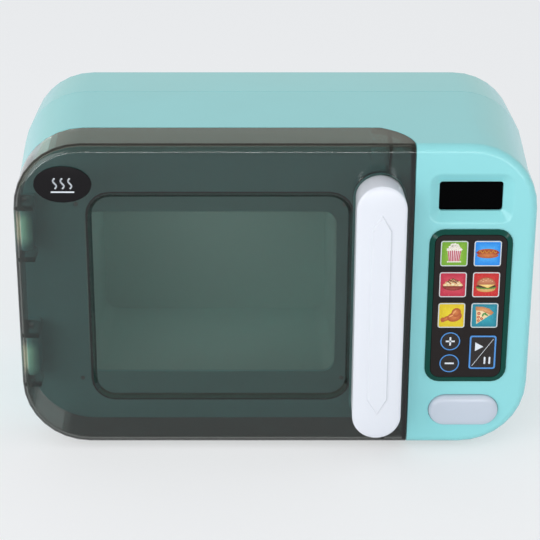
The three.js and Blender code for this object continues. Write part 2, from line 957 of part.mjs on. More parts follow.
// Rear cover: a cup with the speaker's grille, the battery box and the switch's slot in its back
function rearCover() {
  const front = shell.parting + gap;
  const backStations = filletStations(shell.backFillet, 0, filletSteps)
    .map(([depth, inset]) => [shell.depth - depth, inset])
    .reverse();
  const whole = loft([[front, 0], ...backStations].map(([d, inset]) => outline(d, inset)));
  const innerFillet = shell.backFillet - shell.wall;
  const innerStations = filletStations(innerFillet, 0, filletSteps)
    .map(([depth, inset]) => [backInside - depth, shell.wall + inset])
    .reverse();
  const hollowFront = [shell.parting - overrun, shell.wall];
  const hollow = loft([hollowFront, ...innerStations].map(([d, inset]) => outline(d, inset)));
  const towers = [...leftBosses, ...rightBosses];
  const shellPart = joined(
    cut(whole, hollow),
    coverTongue(),
    ...towers.map(([x, z]) => tower(x, z)),
    speakerRing(),
    batteryWalls(),
    switchFrame(),
  );
  return cut(
    shellPart,
    ...towers.map(([x, z]) => towerBore(x, z)),
    ...speakerSlots(),
    box(pocketBox, pocketFloor, shell.depth + overrun),
    coverRecess(),
    rod(coverScrew.shankRadius + gap, rearX, coverScrewZ, coverBoreFront, backInside, smallSteps),
    box(
      around(rearX, switchZ, switchSlotWidth, powerSwitch.slotHeight),
      backInside - overrun,
      shell.depth + overrun,
    ),
    ...feetPlaces.slice(2).map(([x, depth]) => footHole(x, depth)),
  );
}

// The case's outline carried from one depth to another, drawn in by an inset
function sleeve(front, back, inset) {
  return loft([outline(front, inset), outline(back, inset)]);
}

function coverTongue() {
  const outer = shell.wall + gap;
  const front = shell.parting - tongue.reach;
  const root = shell.parting + gap;
  const back = root + tongue.root;
  const lip = cut(
    sleeve(front, back, outer),
    sleeve(front - overrun, back + overrun, outer + tongue.wall),
  );
  const bridge = cut(
    sleeve(root, back, gap),
    sleeve(root - overrun, back + overrun, outer + tongue.wall),
  );
  return joined(lip, bridge);
}

function tower(x, z) {
  const front = shell.parting + gap;
  const body = rod(boss.towerRadius, x, z, front, shell.depth - shell.wall / 2);
  return body.intersect(sleeve(front - overrun, shell.depth - shell.wall / 2, gap));
}

function towerBore(x, z) {
  const seat = shell.parting + gap + boss.floor;
  return joined(
    rod(boss.counterbore, x, z, seat, shell.depth + overrun),
    rod(screw.shankRadius + gap, x, z, shell.parting - overrun, seat + gap, smallSteps),
  );
}

function speakerRing() {
  const inner = speaker.radius + gap;
  const front = backInside - speaker.ringReach;
  const outer = inner + speaker.ringWall;
  return cut(
    rod(outer, rearX, speakerZ, front, shell.depth - shell.wall / 2, 2 * roundSteps),
    rod(inner, rearX, speakerZ, front - overrun, backInside, 2 * roundSteps),
  );
}

function speakerSlots() {
  const reach = speaker.coneRadius - speaker.slotMargin / 2;
  const rows = Math.floor(reach / speaker.slotPitch);
  return Array.from({ length: 2 * rows + 1 }, (_, i) => {
    const up = (i - rows) * speaker.slotPitch;
    const half = Math.sqrt(reach * reach - up * up);
    const slot = around(rearX, speakerZ + up, 2 * half, speaker.slotWidth);
    return stadium(slot, backInside - overrun, shell.depth + overrun, 2);
  });
}

const coverBoreFront = backInside - coverScrew.length;

function batteryWalls() {
  const outer = grown(pocketBox, pocket.wall);
  const body = box(outer, pocketFloor - pocket.wall, shell.depth - shell.wall / 2);
  const ledge = grown(coverBox, pocket.wall);
  const rim = box(ledge, backInside - pocket.wall, shell.depth - shell.wall / 2);
  const nose = coverBoreFront - pocket.wall;
  const screwPost = rod(coverScrew.bossRadius, rearX, coverScrewZ, nose, backInside);
  return joined(body, rim, screwPost);
}

function coverRecess() {
  const radius = pocket.coverCorner;
  return block(coverBox, radius, backInside, shell.depth + overrun);
}

const switchFront = backInside - powerSwitch.bodyDepth;

function switchFrame() {
  const body = around(rearX, switchZ, powerSwitch.bodyWidth, powerSwitch.bodyHeight);
  const inner = grown(body, gap);
  const front = backInside - powerSwitch.bodyDepth / 2;
  return cut(
    box(grown(inner, pocket.wall), front, shell.depth - shell.wall / 2),
    box(inner, front - overrun, backInside),
  );
}

// Cavity liner: the oven's inside, hung behind the rim by its flange
function cavityLiner() {
  const back = cavity.back;
  const rear = area(
    cavityBox.left + cavity.sideDraft,
    cavityBox.right - cavity.sideDraft,
    cavityBox.bottom,
    cavityBox.top,
  );
  const inside = loft([
    ring(cavityBox, cavity.corner, flangeFront - overrun),
    ring(cavityBox, cavity.corner, flangeFront),
    ring(rear, cavity.corner, back),
  ]);
  const outside = loft([
    ring(grown(cavityBox, cavity.wall), cavity.corner + cavity.wall, flangeFront),
    ring(grown(rear, cavity.wall), cavity.corner + cavity.wall, back + cavity.wall),
  ]);
  const flange = block(linerBox, cavity.corner, flangeFront, flangeFront + cavity.flangeWall);
  const body = cut(joined(outside, flange, ...lampPosts()), inside);
  const screwHoles = linerScrewPlaces.map(([x, z]) =>
    rod(linerHole, x, z, flangeFront - overrun, flangeFront + overrun, smallSteps),
  );
  return cut(body, lampHole(), ...screwHoles);
}

const cavityX = (cavityBox.left + cavityBox.right) / 2;
const ceilingTop = cavityBox.top + cavity.wall;
const lampBoardLow = ceilingTop + lampBoard.height;

// The lens's outline seen from above, a rounded rectangle
function lampPlan(grow) {
  const y = at(lamp.setback);
  const across = lamp.width / 2 - lamp.corner;
  const along = lamp.depth / 2 - lamp.corner;
  const corners = [[1, 1], [-1, 1], [-1, -1], [1, -1]];
  const shape = new THREE.Shape();
  shape.moveTo(cavityX + lamp.width / 2 + grow, y - along);
  corners.forEach(([right, rear], turn) => {
    const centre = { x: cavityX + right * across, y: y + rear * along };
    const start = turn * quarter;
    shape.absarc(centre.x, centre.y, lamp.corner + grow, start, start + quarter, false);
  });
  return shape;
}

function lampHole() {
  return column(lampPlan(gap), cavityBox.top - overrun, ceilingTop + overrun);
}

function lampPostPlaces() {
  const half = lampBoard.width / 2 - lampBoard.postInset;
  return [cavityX - half, cavityX + half];
}

function lampPosts() {
  const y = at(lamp.setback);
  const stakeTop = lampBoardLow + lampBoard.wall + lampBoard.stakeReach;
  return lampPostPlaces().map((x) =>
    joined(
      post(lampBoard.postRadius, x, y, ceilingTop - gap, lampBoardLow - gap, smallSteps),
      post(lampBoard.stakeRadius, x, y, lampBoardLow - 2 * gap, stakeTop, smallSteps),
    ),
  );
}

function lampLens() {
  const lipLow = ceilingTop + gap;
  const dome = column(lampPlan(0), cavityBox.top - lamp.drop, lipLow + lamp.lipWall);
  return joined(dome, column(lampPlan(lamp.lip), lipLow, lipLow + lamp.lipWall));
}

function lampBoardPlate() {
  const y = at(lamp.setback);
  const shape = new THREE.Shape();
  shape.moveTo(cavityX - lampBoard.width / 2, y - lampBoard.depth / 2);
  shape.lineTo(cavityX + lampBoard.width / 2, y - lampBoard.depth / 2);
  shape.lineTo(cavityX + lampBoard.width / 2, y + lampBoard.depth / 2);
  shape.lineTo(cavityX - lampBoard.width / 2, y + lampBoard.depth / 2);
  shape.closePath();
  const hole = lampBoard.stakeRadius + gap;
  const holes = lampPostPlaces().map((x) =>
    post(hole, x, y, lampBoardLow - overrun, lampBoardLow + overrun, smallSteps),
  );
  return cut(column(shape, lampBoardLow, lampBoardLow + lampBoard.wall), ...holes);
}

function lampLed() {
  const top = lampBoardLow - gap;
  const profile = [[0, top - led.length]];
  for (let i = 1; i <= domeSteps; i++) {
    const angle = (quarter * i) / domeSteps;
    const along = top - led.length + led.radius * (1 - Math.cos(angle));
    profile.push([led.radius * Math.sin(angle), along]);
  }
  profile.push([led.radius, top - led.rimHeight], [led.rimRadius, top - led.rimHeight]);
  profile.push([led.rimRadius, top], [0, top]);
  return turnedAlongZ(profile, cavityX, at(lamp.setback), 0);
}

// A screw with a domed head, pointing forwards, about the middle of its head's underside
function screwSolid(size) {
  const profile = [
    [0, -size.length],
    [size.shankRadius, -size.length + size.shankRadius],
    [size.shankRadius, 0],
    [size.headRadius, 0],
    [size.headRadius, size.headHeight / 2],
    [size.headRadius / 2, size.headHeight],
    [0, size.headHeight],
  ];
  return turnedAlongY(profile, 0, 0, -faceY, smallSteps);
}

// Door shell: a tray in smoked plastic, wrapped to the seam, with the recessed pane
function doorShell() {
  const outer = caseBlock(0, door.depth, 0, shell.faceFillet).intersect(doorSide(0, door.depth));
  const innerFillet = shell.faceFillet - door.wall;
  const hollow = caseBlock(door.wall, door.depth + overrun, door.wall, innerFillet).intersect(
    doorSide(-door.wall, door.depth + overrun),
  );
  const tray = joined(
    cut(outer, hollow),
    paneBack(),
    wellBackSolid(),
    ...handleRibs(hollow),
    ...earHeights.map((z) => hingeEar(z, outer)),
    latchHook(),
  );
  return cut(
    tray,
    paneRecess(),
    stadium(grown(handleBox, handle.ring), -overrun, handle.well, cornerSteps),
    ...handleScrewHeights().map((z) =>
      rod(handleScrew.shankRadius + gap, handleX, z, handle.well - overrun, wellBack + overrun),
    ),
    ...hingePairs.map((pair) => lugNotch(pair)),
    ...earHeights.map((z) =>
      post(
        hinge.pinRadius + gap,
        hingeX,
        at(hinge.setback),
        z - hinge.earWall / 2 - overrun / 2,
        z + hinge.earWall / 2 + overrun / 2,
      ),
    ),
  );
}

function paneBack() {
  const front = door.wall / 2;
  const back = pane.recess + door.wall;
  const wide = grown(paneBox, door.wall);
  const narrow = grown(paneBox, door.wall - pane.slope);
  return loft([
    ring(wide, pane.corner + door.wall, front),
    ring(narrow, pane.corner + door.wall - pane.slope, back),
  ]);
}

function paneRecess() {
  const inner = grown(paneBox, -pane.slope);
  return loft([
    ring(paneBox, pane.corner, -overrun),
    ring(paneBox, pane.corner, 0),
    ring(inner, pane.corner - pane.slope, pane.recess),
  ]);
}

function wellBackSolid() {
  const wall = handle.ring + handle.wellWall;
  return stadium(grown(handleBox, wall), door.wall / 2, wellBack, cornerSteps);
}

// Leaning ribs from the handle's well to the door's top and bottom walls
function handleRibs(hollow) {
  const near = handleX + doorRib.nearShift;
  const far = handleX + doorRib.farShift;
  const half = doorRib.wall / 2;
  const back = door.depth - door.wall;
  const [upper, lower] = [[handleTop, topZ], [handleLow, lowZ]].map(([nearZ, farZ]) => {
    const shape = new THREE.Shape();
    shape.moveTo(near - half, nearZ);
    shape.lineTo(near + half, nearZ);
    shape.lineTo(far + half, farZ);
    shape.lineTo(far - half, farZ);
    shape.closePath();
    return plate(shape, door.wall / 2, back);
  });
  const roomy = joined(hollow, caseBlock(0, door.depth, door.wall / 2, shell.faceFillet));
  const limit = roomy.intersect(doorSide(-door.wall / 2, door.depth));
  return [upper.intersect(limit), lower.intersect(limit)];
}

function hingeEar(z, outer) {
  const y = at(hinge.setback);
  const shape = new THREE.Shape();
  shape.moveTo(leftX, at(door.wall / 2));
  shape.lineTo(hingeX + hinge.earRadius, at(door.wall / 2));
  shape.lineTo(hingeX + hinge.earRadius, y);
  shape.absarc(hingeX, y, hinge.earRadius, 0, quarter, false);
  shape.lineTo(leftX, y + hinge.earRadius);
  shape.closePath();
  return column(shape, z - hinge.earWall / 2, z + hinge.earWall / 2).intersect(outer);
}

function lugNotch({ bottom, top }) {
  const front = hinge.setback - hinge.lugRadius - hinge.notch;
  const low = bottom + hinge.earWall / 2;
  const high = top - hinge.earWall / 2;
  const right = hingeX + hinge.lugRadius + hinge.notch;
  return box(area(leftX - overrun, right, low, high), front, door.depth + overrun);
}

// A shank from the back of the handle's well, with a barb on top behind the latch's plate
function latchHook() {
  const barbFront = latchBack + hook.play;
  const top = hookZ + hook.height;
  const shape = new THREE.Shape();
  shape.moveTo(at(wellBack - door.wall / 2), hookZ);
  shape.lineTo(at(barbFront + hook.barb), hookZ);
  shape.lineTo(at(barbFront + hook.barb), hookZ + hook.height / 2);
  shape.lineTo(at(barbFront + gap), top + hook.barbRise);
  shape.lineTo(at(barbFront), top + hook.barbRise);
  shape.lineTo(at(barbFront), top);
  shape.lineTo(at(wellBack - door.wall / 2), top);
  shape.closePath();
  return bar(shape, hookX - hook.width / 2, hookX + hook.width / 2);
}

function handleScrewHeights() {
  return [handleLow + handleScrew.endMargin, handleTop - handleScrew.endMargin];
}

// Handle: a hollow bar with rounded ends, open at the back, with two screw bosses
function doorHandle() {
  const back = handle.well - gap;
  const front = -handle.reach + facet.rise;
  const radius = handle.width / 2;
  const edge = filletStations(handle.fillet, front, filletSteps);
  const nose = edge.map(([depth, inset]) => [depth, inset - handle.flare]);
  const rings = [...nose, [back, 0]].map(([depth, inset]) =>
    ring(grown(handleBox, -inset), radius - inset, depth, cornerSteps),
  );
  const hollow = block(
    grown(handleBox, -handle.wall),
    radius - handle.wall,
    front + handle.wall,
    back + overrun,
    -handle.flare,
    cornerSteps,
  );
  const bosses = handleScrewHeights().map((z) =>
    rod(handleScrew.bossRadius, handleX, z, front + handle.wall / 2, back),
  );
  const bores = handleScrewHeights().map((z) =>
    rod(handleScrew.shankRadius + gap, handleX, z, back - handleScrew.length, back + overrun),
  );
  return cut(joined(cut(loft(rings), hollow), ...bosses, handleFacet(front)), ...bores);
}

// The raised hexagon: pointed at both ends, with a bevelled edge
function handleFacet(front) {
  function hexagon(inset, depth) {
    const half = facet.width / 2 - inset;
    const tipLow = handleLow + facet.tipMargin + inset;
    const tipTop = handleTop - facet.tipMargin - inset;
    const shoulderLow = handleLow + facet.tipMargin + facet.shoulder;
    const shoulderTop = handleTop - facet.tipMargin - facet.shoulder;
    const corners = [
      [0, tipTop],
      [-half, shoulderTop],
      [-half, shoulderLow],
      [0, tipLow],
      [half, shoulderLow],
      [half, shoulderTop],
    ];
    return corners.map(([x, z]) => new THREE.Vector3(handleX + x, at(depth), z));
  }
  return loft([
    hexagon(facet.bevel, front - facet.rise),
    hexagon(0, front),
    hexagon(0, front + handle.wall / 2),
  ]);
}

function badgeSolid() {
  const x = leftX + badge.sideMargin;
  const z = topZ - badge.topMargin;
  const back = -gap;
  const front = back - badge.thickness;
  function oval(inset, depth) {
    return Array.from({ length: ovalSteps }, (_, i) => {
      const angle = (4 * quarter * i) / ovalSteps;
      const across = (badge.width / 2 - inset) * Math.cos(angle);
      const up = (badge.height / 2 - inset) * Math.sin(angle);
      return new THREE.Vector3(x + across, at(depth), z + up);
    });
  }
  return loft([oval(badge.bevel, front), oval(0, front + badge.bevel), oval(0, back)]);
}

// Display window and module
function displayWindow() {
  const seat = grown(glassBox, display.skin - gap);
  const radius = display.glassCorner + display.skin - gap;
  return block(seat, radius, glassFront, glassFront + display.glassWall);
}

function displayModule() {
  const front = glassFront + display.glassWall + gap;
  return box(grown(glassBox, -display.moduleMargin), front, front + display.moduleWall);
}

// Keypad: bezel, overlay with nine holes, keys and the rubber sheet behind them
function keypadBezel() {
  const pocketInset = keypad.border;
  const skirt = loft([
    ring(grown(keypadBox, -keypad.border), keypad.corner - keypad.border, -keypad.proud),
    ring(keypadBox, keypad.corner, -gap - keypad.edge),
    ring(keypadBox, keypad.corner, -gap),
  ]);
  const ledgeFront = overlayBack + gap;
  const sleeveBack = ledgeFront + keypad.ledgeWall;
  const sleeve = block(
    grown(keypadBox, -keypad.sleeveInset),
    keypad.corner - keypad.sleeveInset,
    -gap - keypad.edge,
    sleeveBack,
  );
  const overlayRoom = block(
    grown(keypadBox, -pocketInset),
    keypad.corner - pocketInset,
    -keypad.proud - overrun,
    ledgeFront,
  );
  const opening = block(
    grown(keypadBox, -pocketInset - keypad.ledge),
    keypad.corner - pocketInset - keypad.ledge,
    -overrun,
    sleeveBack + overrun,
  );
  return cut(joined(skirt, sleeve), overlayRoom, opening);
}

const columnPitch = key.size + key.columnGap;
const rowPitch = key.size + key.rowGap;
const leftKeyX = stackX - columnPitch / 2;
const rightKeyX = stackX + columnPitch / 2;
const topKeyZ = keypadTop - keypad.topMargin - key.size / 2;
const playZ = keypadLow + keypad.bottomMargin + key.playHeight / 2;
const keyList = [
  { name: "key_popcorn", column: 0, row: 0, colour: "lime" },
  { name: "key_hot_dog", column: 1, row: 0, colour: "sky" },
  { name: "key_noodles", column: 0, row: 1, colour: "pink" },
  { name: "key_burger", column: 1, row: 1, colour: "orange" },
  { name: "key_drumstick", column: 0, row: 2, colour: "yellow" },
  { name: "key_pizza", column: 1, row: 2, colour: "teal" },
].map(({ name, column, row, colour }) => ({
  name,
  colour,
  x: stackX + (column - 1 / 2) * columnPitch,
  z: topKeyZ - row * rowPitch,
  width: key.size,
  height: key.size,
  corner: key.corner,
}));
const signSize = key.signPitch - key.signGap;
keyList.push(
  {
    name: "key_plus",
    colour: "night",
    x: leftKeyX,
    z: playZ + key.signPitch / 2,
    width: signSize,
    height: signSize,
    corner: signSize / 2,
  },
  {
    name: "key_minus",
    colour: "night",
    x: leftKeyX,
    z: playZ - key.signPitch / 2,
    width: signSize,
    height: signSize,
    corner: signSize / 2,
  },
  {
    name: "key_play_pause",
    colour: "night",
    x: rightKeyX,
    z: playZ,
    width: key.playWidth,
    height: key.playHeight,
    corner: key.corner,
  },
);

function keyBlockSolid(item, grow, front, back) {
  const outlineBox = around(item.x, item.z, item.width + 2 * grow, item.height + 2 * grow);
  const steps = item.corner > key.corner ? cornerSteps / 2 : cornerSteps / 4;
  return block(outlineBox, item.corner + grow, front, back, 0, steps);
}

function keypadOverlay() {
  const seat = grown(keypadBox, -keypad.border - gap);
  const face = block(seat, keypad.corner - keypad.border - gap, overlayFront, overlayBack);
  const holes = keyList.map((item) =>
    keyBlockSolid(item, gap, overlayFront - overrun, overlayBack + overrun),
  );
  return cut(face, ...holes);
}

function keySolid(item) {
  return joined(
    keyBlockSolid(item, 0, overlayFront - key.proud, keyLipBack),
    keyBlockSolid(item, key.lip, keyLipFront, keyLipBack),
    rod(key.stemRadius, item.x, item.z, keyLipBack - gap, keyStemBack, smallSteps),
  );
}

function keypadMembrane() {
  const sheetFront = membraneBack - membrane.wall;
  const seat = grown(keypadBox, -keypad.border - keypad.ledge - gap);
  const radius = keypad.corner - keypad.border - keypad.ledge - gap;
  const sheet = block(seat, radius, sheetFront, membraneBack);
  const profile = [
    [0, 0],
    [membrane.domeTopRadius, 0],
    [membrane.domeRadius, membrane.dome],
    [membrane.domeRadius, membrane.dome + membrane.wall / 2],
    [0, membrane.dome + membrane.wall / 2],
  ];
  const domes = keyList.map((item) =>
    turnedAlongY(profile, item.x, item.z, domeFront, smallSteps),
  );
  return joined(sheet, ...domes);
}

function controlBoard() {
  const half = board.width / 2;
  const margin = board.postRadius + board.edge;
  const plan = area(stackX - half, stackX + half, boardLowZ - margin, boardTopZ + margin);
  const sheet = loft([
    cornered(plan, boardFront),
    cornered(plan, boardFront + board.wall),
  ]);
  const holes = boardPosts.map(([x, z]) =>
    rod(board.stakeRadius + gap, x, z, boardFront - overrun, boardFront + overrun, smallSteps),
  );
  return cut(sheet, ...holes);
}

// The board's outline: cut at its top corners, which follow the case's corner
function cornered(plan, depth) {
  const points = [
    [plan.left, plan.bottom],
    [plan.right, plan.bottom],
    [plan.right, plan.top - board.corner],
    [plan.right - board.corner, plan.top],
    [plan.left + board.corner, plan.top],
    [plan.left, plan.top - board.corner],
  ];
  return points.map(([x, z]) => new THREE.Vector3(x, at(depth), z));
}

// Release button: a domed cap with a lip behind the panel and a sloped plunger
function releaseButton() {
  const radius = button.height / 2;
  const face = -button.proud;
  const crown = filletStations(button.crown, face, filletSteps);
  const back = panel.wall + gap + button.lipWall;
  const cap = loft(
    [...crown, [back, 0]].map(([depth, inset]) =>
      ring(grown(buttonBox, -inset), radius - inset, depth),
    ),
  );
  const lip = stadium(grown(buttonBox, button.lip), panel.wall + gap, back);
  return joined(cap, lip, buttonPlunger(back));
}

function buttonPlunger(front) {
  const shape = new THREE.Shape();
  const tip = slopeStart + slopeShare * button.plungerHeight;
  shape.moveTo(at(front - gap), plungerLow);
  shape.lineTo(at(tip), plungerLow);
  shape.lineTo(at(tip), plungerTop - (tip - slopeStart));
  shape.lineTo(at(slopeStart), plungerTop);
  shape.lineTo(at(front - gap), plungerTop);
  shape.closePath();
  return bar(shape, plungerX - button.plungerWidth / 2, plungerX + button.plungerWidth / 2);
}

// Latch: a plate with a window for the hook, an arm to the button and a shelf under the spring
function latchSlider() {
  const slot = hookSlot();
  const armEnd = plungerX + button.plungerWidth / 2;
  const arm = area(latchBox.left, armEnd, armLow, armTop);
  const window = area(
    slot.left,
    slot.right,
    hookZ - hook.slotMargin - button.travel,
    hookZ + hook.height + gap,
  );
  const shelf = area(
    springX - spring.radius - 2 * spring.wireRadius,
    springX + spring.radius + 2 * spring.wireRadius,
    latchBox.top - latch.shelfWall,
    latchBox.top,
  );
  const body = joined(
    box(latchBox, latchFront, latchBack),
    box(arm, latchFront, latchBack),
    box(shelf, latchFront, latchFront + latch.shelf),
  );
  return cut(
    body,
    box(window, latchFront - overrun, latchBack + overrun),
    plungerRelief(arm),
  );
}

// The wedge of arm that the plunger's slope takes, kept clear by the gap
function plungerRelief(arm) {
  const rise = gap * Math.SQRT2;
  const low = arm.bottom - overrun;
  const startZ = plungerTop + rise;
  const drop = 2 * overrun + latch.wall;
  const shape = new THREE.Shape();
  shape.moveTo(at(slopeStart - overrun), startZ + overrun);
  shape.lineTo(at(slopeStart - overrun), low - drop);
  shape.lineTo(at(slopeStart + drop), low - drop);
  shape.lineTo(at(slopeStart + drop), startZ - drop);
  shape.closePath();
  const left = plungerX - button.plungerWidth / 2 - 2 * gap;
  return bar(shape, left, arm.right + overrun);
}

class Helix extends THREE.Curve {
  getPoint(t) {
    const angle = 4 * quarter * spring.turns * t;
    const low = springLow + spring.wireRadius;
    const height = spring.length - 2 * spring.wireRadius;
    const x = springX + spring.radius * Math.cos(angle);
    const y = at(springDepth) + spring.radius * Math.sin(angle);
    return new THREE.Vector3(x, y, low + height * t);
  }
}

function latchSpring() {
  const section = Array.from({ length: spring.wireSides }, (_, i) => {
    const angle = (4 * quarter * i) / spring.wireSides;
    const across = spring.wireRadius * Math.cos(angle);
    return new THREE.Vector2(across, spring.wireRadius * Math.sin(angle));
  });
  const wire = new THREE.Shape(section);
  const geometry = new THREE.ExtrudeGeometry(wire, {
    extrudePath: new Helix(),
    steps: spring.turns * spring.turnSteps,
    bevelEnabled: false,
  });
  return solid(geometry);
}

// Foot: a rubber pad with a peg and bead through the case's floor
function footSolid(height) {
  const inside = height + gap + shell.wall;
  const profile = [
    [0, 0],
    [foot.radius - gap, 0],
    [foot.radius, gap],
    [foot.radius, height],
    [foot.pegRadius, height],
    [foot.pegRadius, inside + gap],
    [foot.pegHead, inside + gap],
    [foot.pegRadius, inside + foot.pegReach],
    [0, inside + foot.pegReach],
  ];
  return turnedAlongZ(profile, 0, 0, 0);
}

// Speaker: rim, basket and magnet, with its cone facing the back
function speakerSolid() {
  const face = backInside - gap;
  const profile = [
    [0, -speaker.depth],
    [speaker.magnetRadius, -speaker.depth],
    [speaker.magnetRadius, speaker.magnetDepth - speaker.depth],
    [speaker.coneRadius, -speaker.rimWall],
    [speaker.radius, -speaker.rimWall],
    [speaker.radius, 0],
    [speaker.coneRadius, 0],
    [speaker.magnetRadius / 2, -speaker.depth / 2],
    [0, -speaker.depth / 2],
  ];
  return turnedAlongY(profile, rearX, speakerZ, face, 2 * roundSteps);
}

// Batteries lie side by side, the middle one the other way up
function batterySolid(turnedOver) {
  const way = turnedOver ? -1 : 1;
  const half = cellLength / 2;
  const nubLow = half - battery.nubHeight;
  const profile = [
    [0, -half],
    [battery.capRadius, -half],
    [battery.radius, -half + (battery.radius - battery.capRadius)],
    [battery.radius, nubLow - (battery.radius - battery.capRadius)],
    [battery.capRadius, nubLow],
    [battery.nubRadius, nubLow],
    [battery.nubRadius, half],
    [0, half],
  ];
  const upright = profile.map(([radius, along]) => [radius, way * along]);
  return turnedAlongZ(turnedOver ? upright.reverse() : upright, 0, 0, 0);
}

function cellX(i) {
  return rearX + (i - (cells - 1) / 2) * cellPitch;
}

// A spring plate at one end of the pocket, over one cell or across two
function contactSolid(first, last, top) {
  const way = top ? -1 : 1;
  const wallZ = top ? pocketBox.top - contact.seat : pocketBox.bottom + contact.seat;
  const faceZ = wallZ + way * contact.wall;
  const tipZ = faceZ + way * contact.bumpHeight;
  const plateBox = area(
    cellX(first) - contact.width / 2,
    cellX(last) + contact.width / 2,
    Math.min(wallZ, faceZ),
    Math.max(wallZ, faceZ),
  );
  const half = contact.width / 2;
  const sheet = box(plateBox, cellsDepth - half, cellsDepth + half);
  const bumps = [];
  for (let i = first; i <= last; i++) {
    const profile = [
      [0, 0],
      [contact.bumpRadius, 0],
      [contact.bumpTopRadius, tipZ - faceZ + way * contact.wall / 2],
      [0, tipZ - faceZ + way * contact.wall / 2],
    ];
    bumps.push(turnedAlongZ(profile, cellX(i), at(cellsDepth), faceZ - way * contact.wall / 2));
  }
  return joined(sheet, ...bumps);
}

const lidScrewSeat = backInside + gap + coverScrew.seatWall;

function batteryCover() {
  const seat = grown(coverBox, -gap);
  const front = backInside + gap;
  const back = backInside + pocket.coverWall;
  const lid = block(seat, pocket.coverCorner - gap, front, back);
  const past = back + overrun;
  const hole = joined(
    rod(coverScrew.shankRadius + gap, rearX, coverScrewZ, front - overrun, past, smallSteps),
    rod(coverScrew.headRadius + gap, rearX, coverScrewZ, lidScrewSeat, past),
  );
  const grooves = [-1, 0, 1].map((i) => {
    const z = pocketBox.bottom + pocket.tab + i * pocket.gripPitch;
    const groove = around(rearX, z, pocketWidth / 2, pocket.gripWidth);
    return stadium(groove, back - pocket.gripDepth, back + overrun, 2);
  });
  return cut(lid, hole, ...grooves);
}

function switchBody() {
  const outer = around(rearX, switchZ, powerSwitch.bodyWidth, powerSwitch.bodyHeight);
  const knobRoom = around(
    rearX,
    switchZ,
    switchSlotWidth,
    powerSwitch.knobHeight + 2 * gap,
  );
  const floor = backInside - gap - powerSwitch.bodyDepth / 3;
  return cut(box(outer, switchFront, backInside - gap), box(knobRoom, floor, backInside + overrun));
}

function switchKnob() {
  const left = rearX - switchSlotWidth / 2 + gap;
  const knob = area(
    left,
    left + powerSwitch.knobWidth,
    switchZ - powerSwitch.knobHeight / 2,
    switchZ + powerSwitch.knobHeight / 2,
  );
  const floor = backInside - powerSwitch.bodyDepth / 3;
  return box(knob, floor, shell.depth - powerSwitch.recess);
}

function hingePin({ bottom, top }) {
  const past = hinge.earWall / 2 + hinge.pinPastEar;
  return post(hinge.pinRadius, hingeX, at(hinge.setback), bottom - past, top + past);
}

// Case
const polished = finish("steel", 0.3, 1);
addPiece("front_housing", frontHousing(), finish("aqua"));
addPiece("rear_cover", rearCover(), finish("aqua"));
addPiece("cavity_liner", cavityLiner(), finish("aqua", 0.5));
for (const pair of hingePairs) {
  addPiece("hinge_pin_" + pair.name, hingePin(pair), polished);
}
feetPlaces.forEach(([x, depth], i) => {
  const made = footSolid(underside(depth) - gap);
  addPiece("foot_" + (i + 1), made, finish("rubber", 0.9), toy, new THREE.Vector3(x, at(depth), 0));
});
const screwSeat = shell.parting + gap + boss.floor + gap;
[...leftBosses, ...rightBosses].forEach(([x, z], i) => {
  const place = new THREE.Vector3(x, at(screwSeat), z);
  addPiece("housing_screw_" + (i + 1), screwSolid(screw), polished, toy, place);
});
linerScrewPlaces.forEach(([x, z], i) => {
  const place = new THREE.Vector3(x, at(flangeFront + cavity.flangeWall + gap), z);
  addPiece("liner_screw_" + (i + 1), screwSolid(linerScrew), polished, toy, place);
});

// Lamp over the cavity
addPiece("lamp_lens", lampLens(), finish("clear", 0.15));
addPiece("lamp_board", lampBoardPlate(), finish("boardGreen", 0.6));
addPiece("lamp_led", lampLed(), finish("clear", 0.2));

// Display, keypad and electronics
addPiece("display_window", displayWindow(), finish("black", 0.08));
addPiece("display_module", displayModule(), finish("black", 0.6));
addPiece("keypad_bezel", keypadBezel(), finish("bezelGreen", 0.12));
addPiece("keypad_overlay", keypadOverlay(), finish("black", 0.3));
addPiece("keypad_membrane", keypadMembrane(), finish("silicone", 0.8));
addPiece("control_board", controlBoard(), finish("boardGreen", 0.6));
for (const item of keyList) {
  addPiece(item.name, keySolid(item), finish(item.colour, 0.3));
}

// Release button and latch
addPiece("release_button", releaseButton(), finish("white", 0.25));
addPiece("latch_slider", latchSlider(), finish("white", 0.5));
addPiece("latch_spring", latchSpring(), finish("spring", 0.35, 1));

// Speaker, batteries and switch
addPiece("speaker", speakerSolid(), finish("black", 0.6));
for (let i = 0; i < cells; i++) {
  const place = new THREE.Vector3(cellX(i), at(cellsDepth), pocketZ);
  addPiece("battery_" + (i + 1), batterySolid(i % 2 === 1), finish("cell", 0.35, 0.4), toy, place);
}
const contacts = [
  { first: 0, last: 0, top: false },
  { first: 1, last: 2, top: false },
  { first: 0, last: 1, top: true },
  { first: 2, last: 2, top: true },
];
contacts.forEach(({ first, last, top }, i) => {
  addPiece("battery_contact_" + (i + 1), contactSolid(first, last, top), polished);
});
addPiece("battery_cover", batteryCover(), finish("aqua"));
const lidScrewPlace = new THREE.Vector3(rearX, at(lidScrewSeat + gap), coverScrewZ);
addPiece("battery_cover_screw", screwSolid(coverScrew), polished, toy, lidScrewPlace);
addPiece("switch_body", switchBody(), finish("black", 0.6));
addPiece("power_switch", switchKnob(), finish("black", 0.5));

// Door, hung on the hinge's axis
addPiece("door_shell", doorShell(), finish("smoke", 0.1), doorGroup);
addPiece("door_handle", doorHandle(), finish("white", 0.25), doorGroup);
addPiece("badge", badgeSolid(), finish("black", 0.1), doorGroup);
handleScrewHeights().forEach((z, i) => {
  const place = new THREE.Vector3(handleX, at(wellBack + gap), z);
  addPiece("handle_screw_" + (i + 1), screwSolid(handleScrew), polished, doorGroup, place);
});

export default toy;
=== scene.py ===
import math

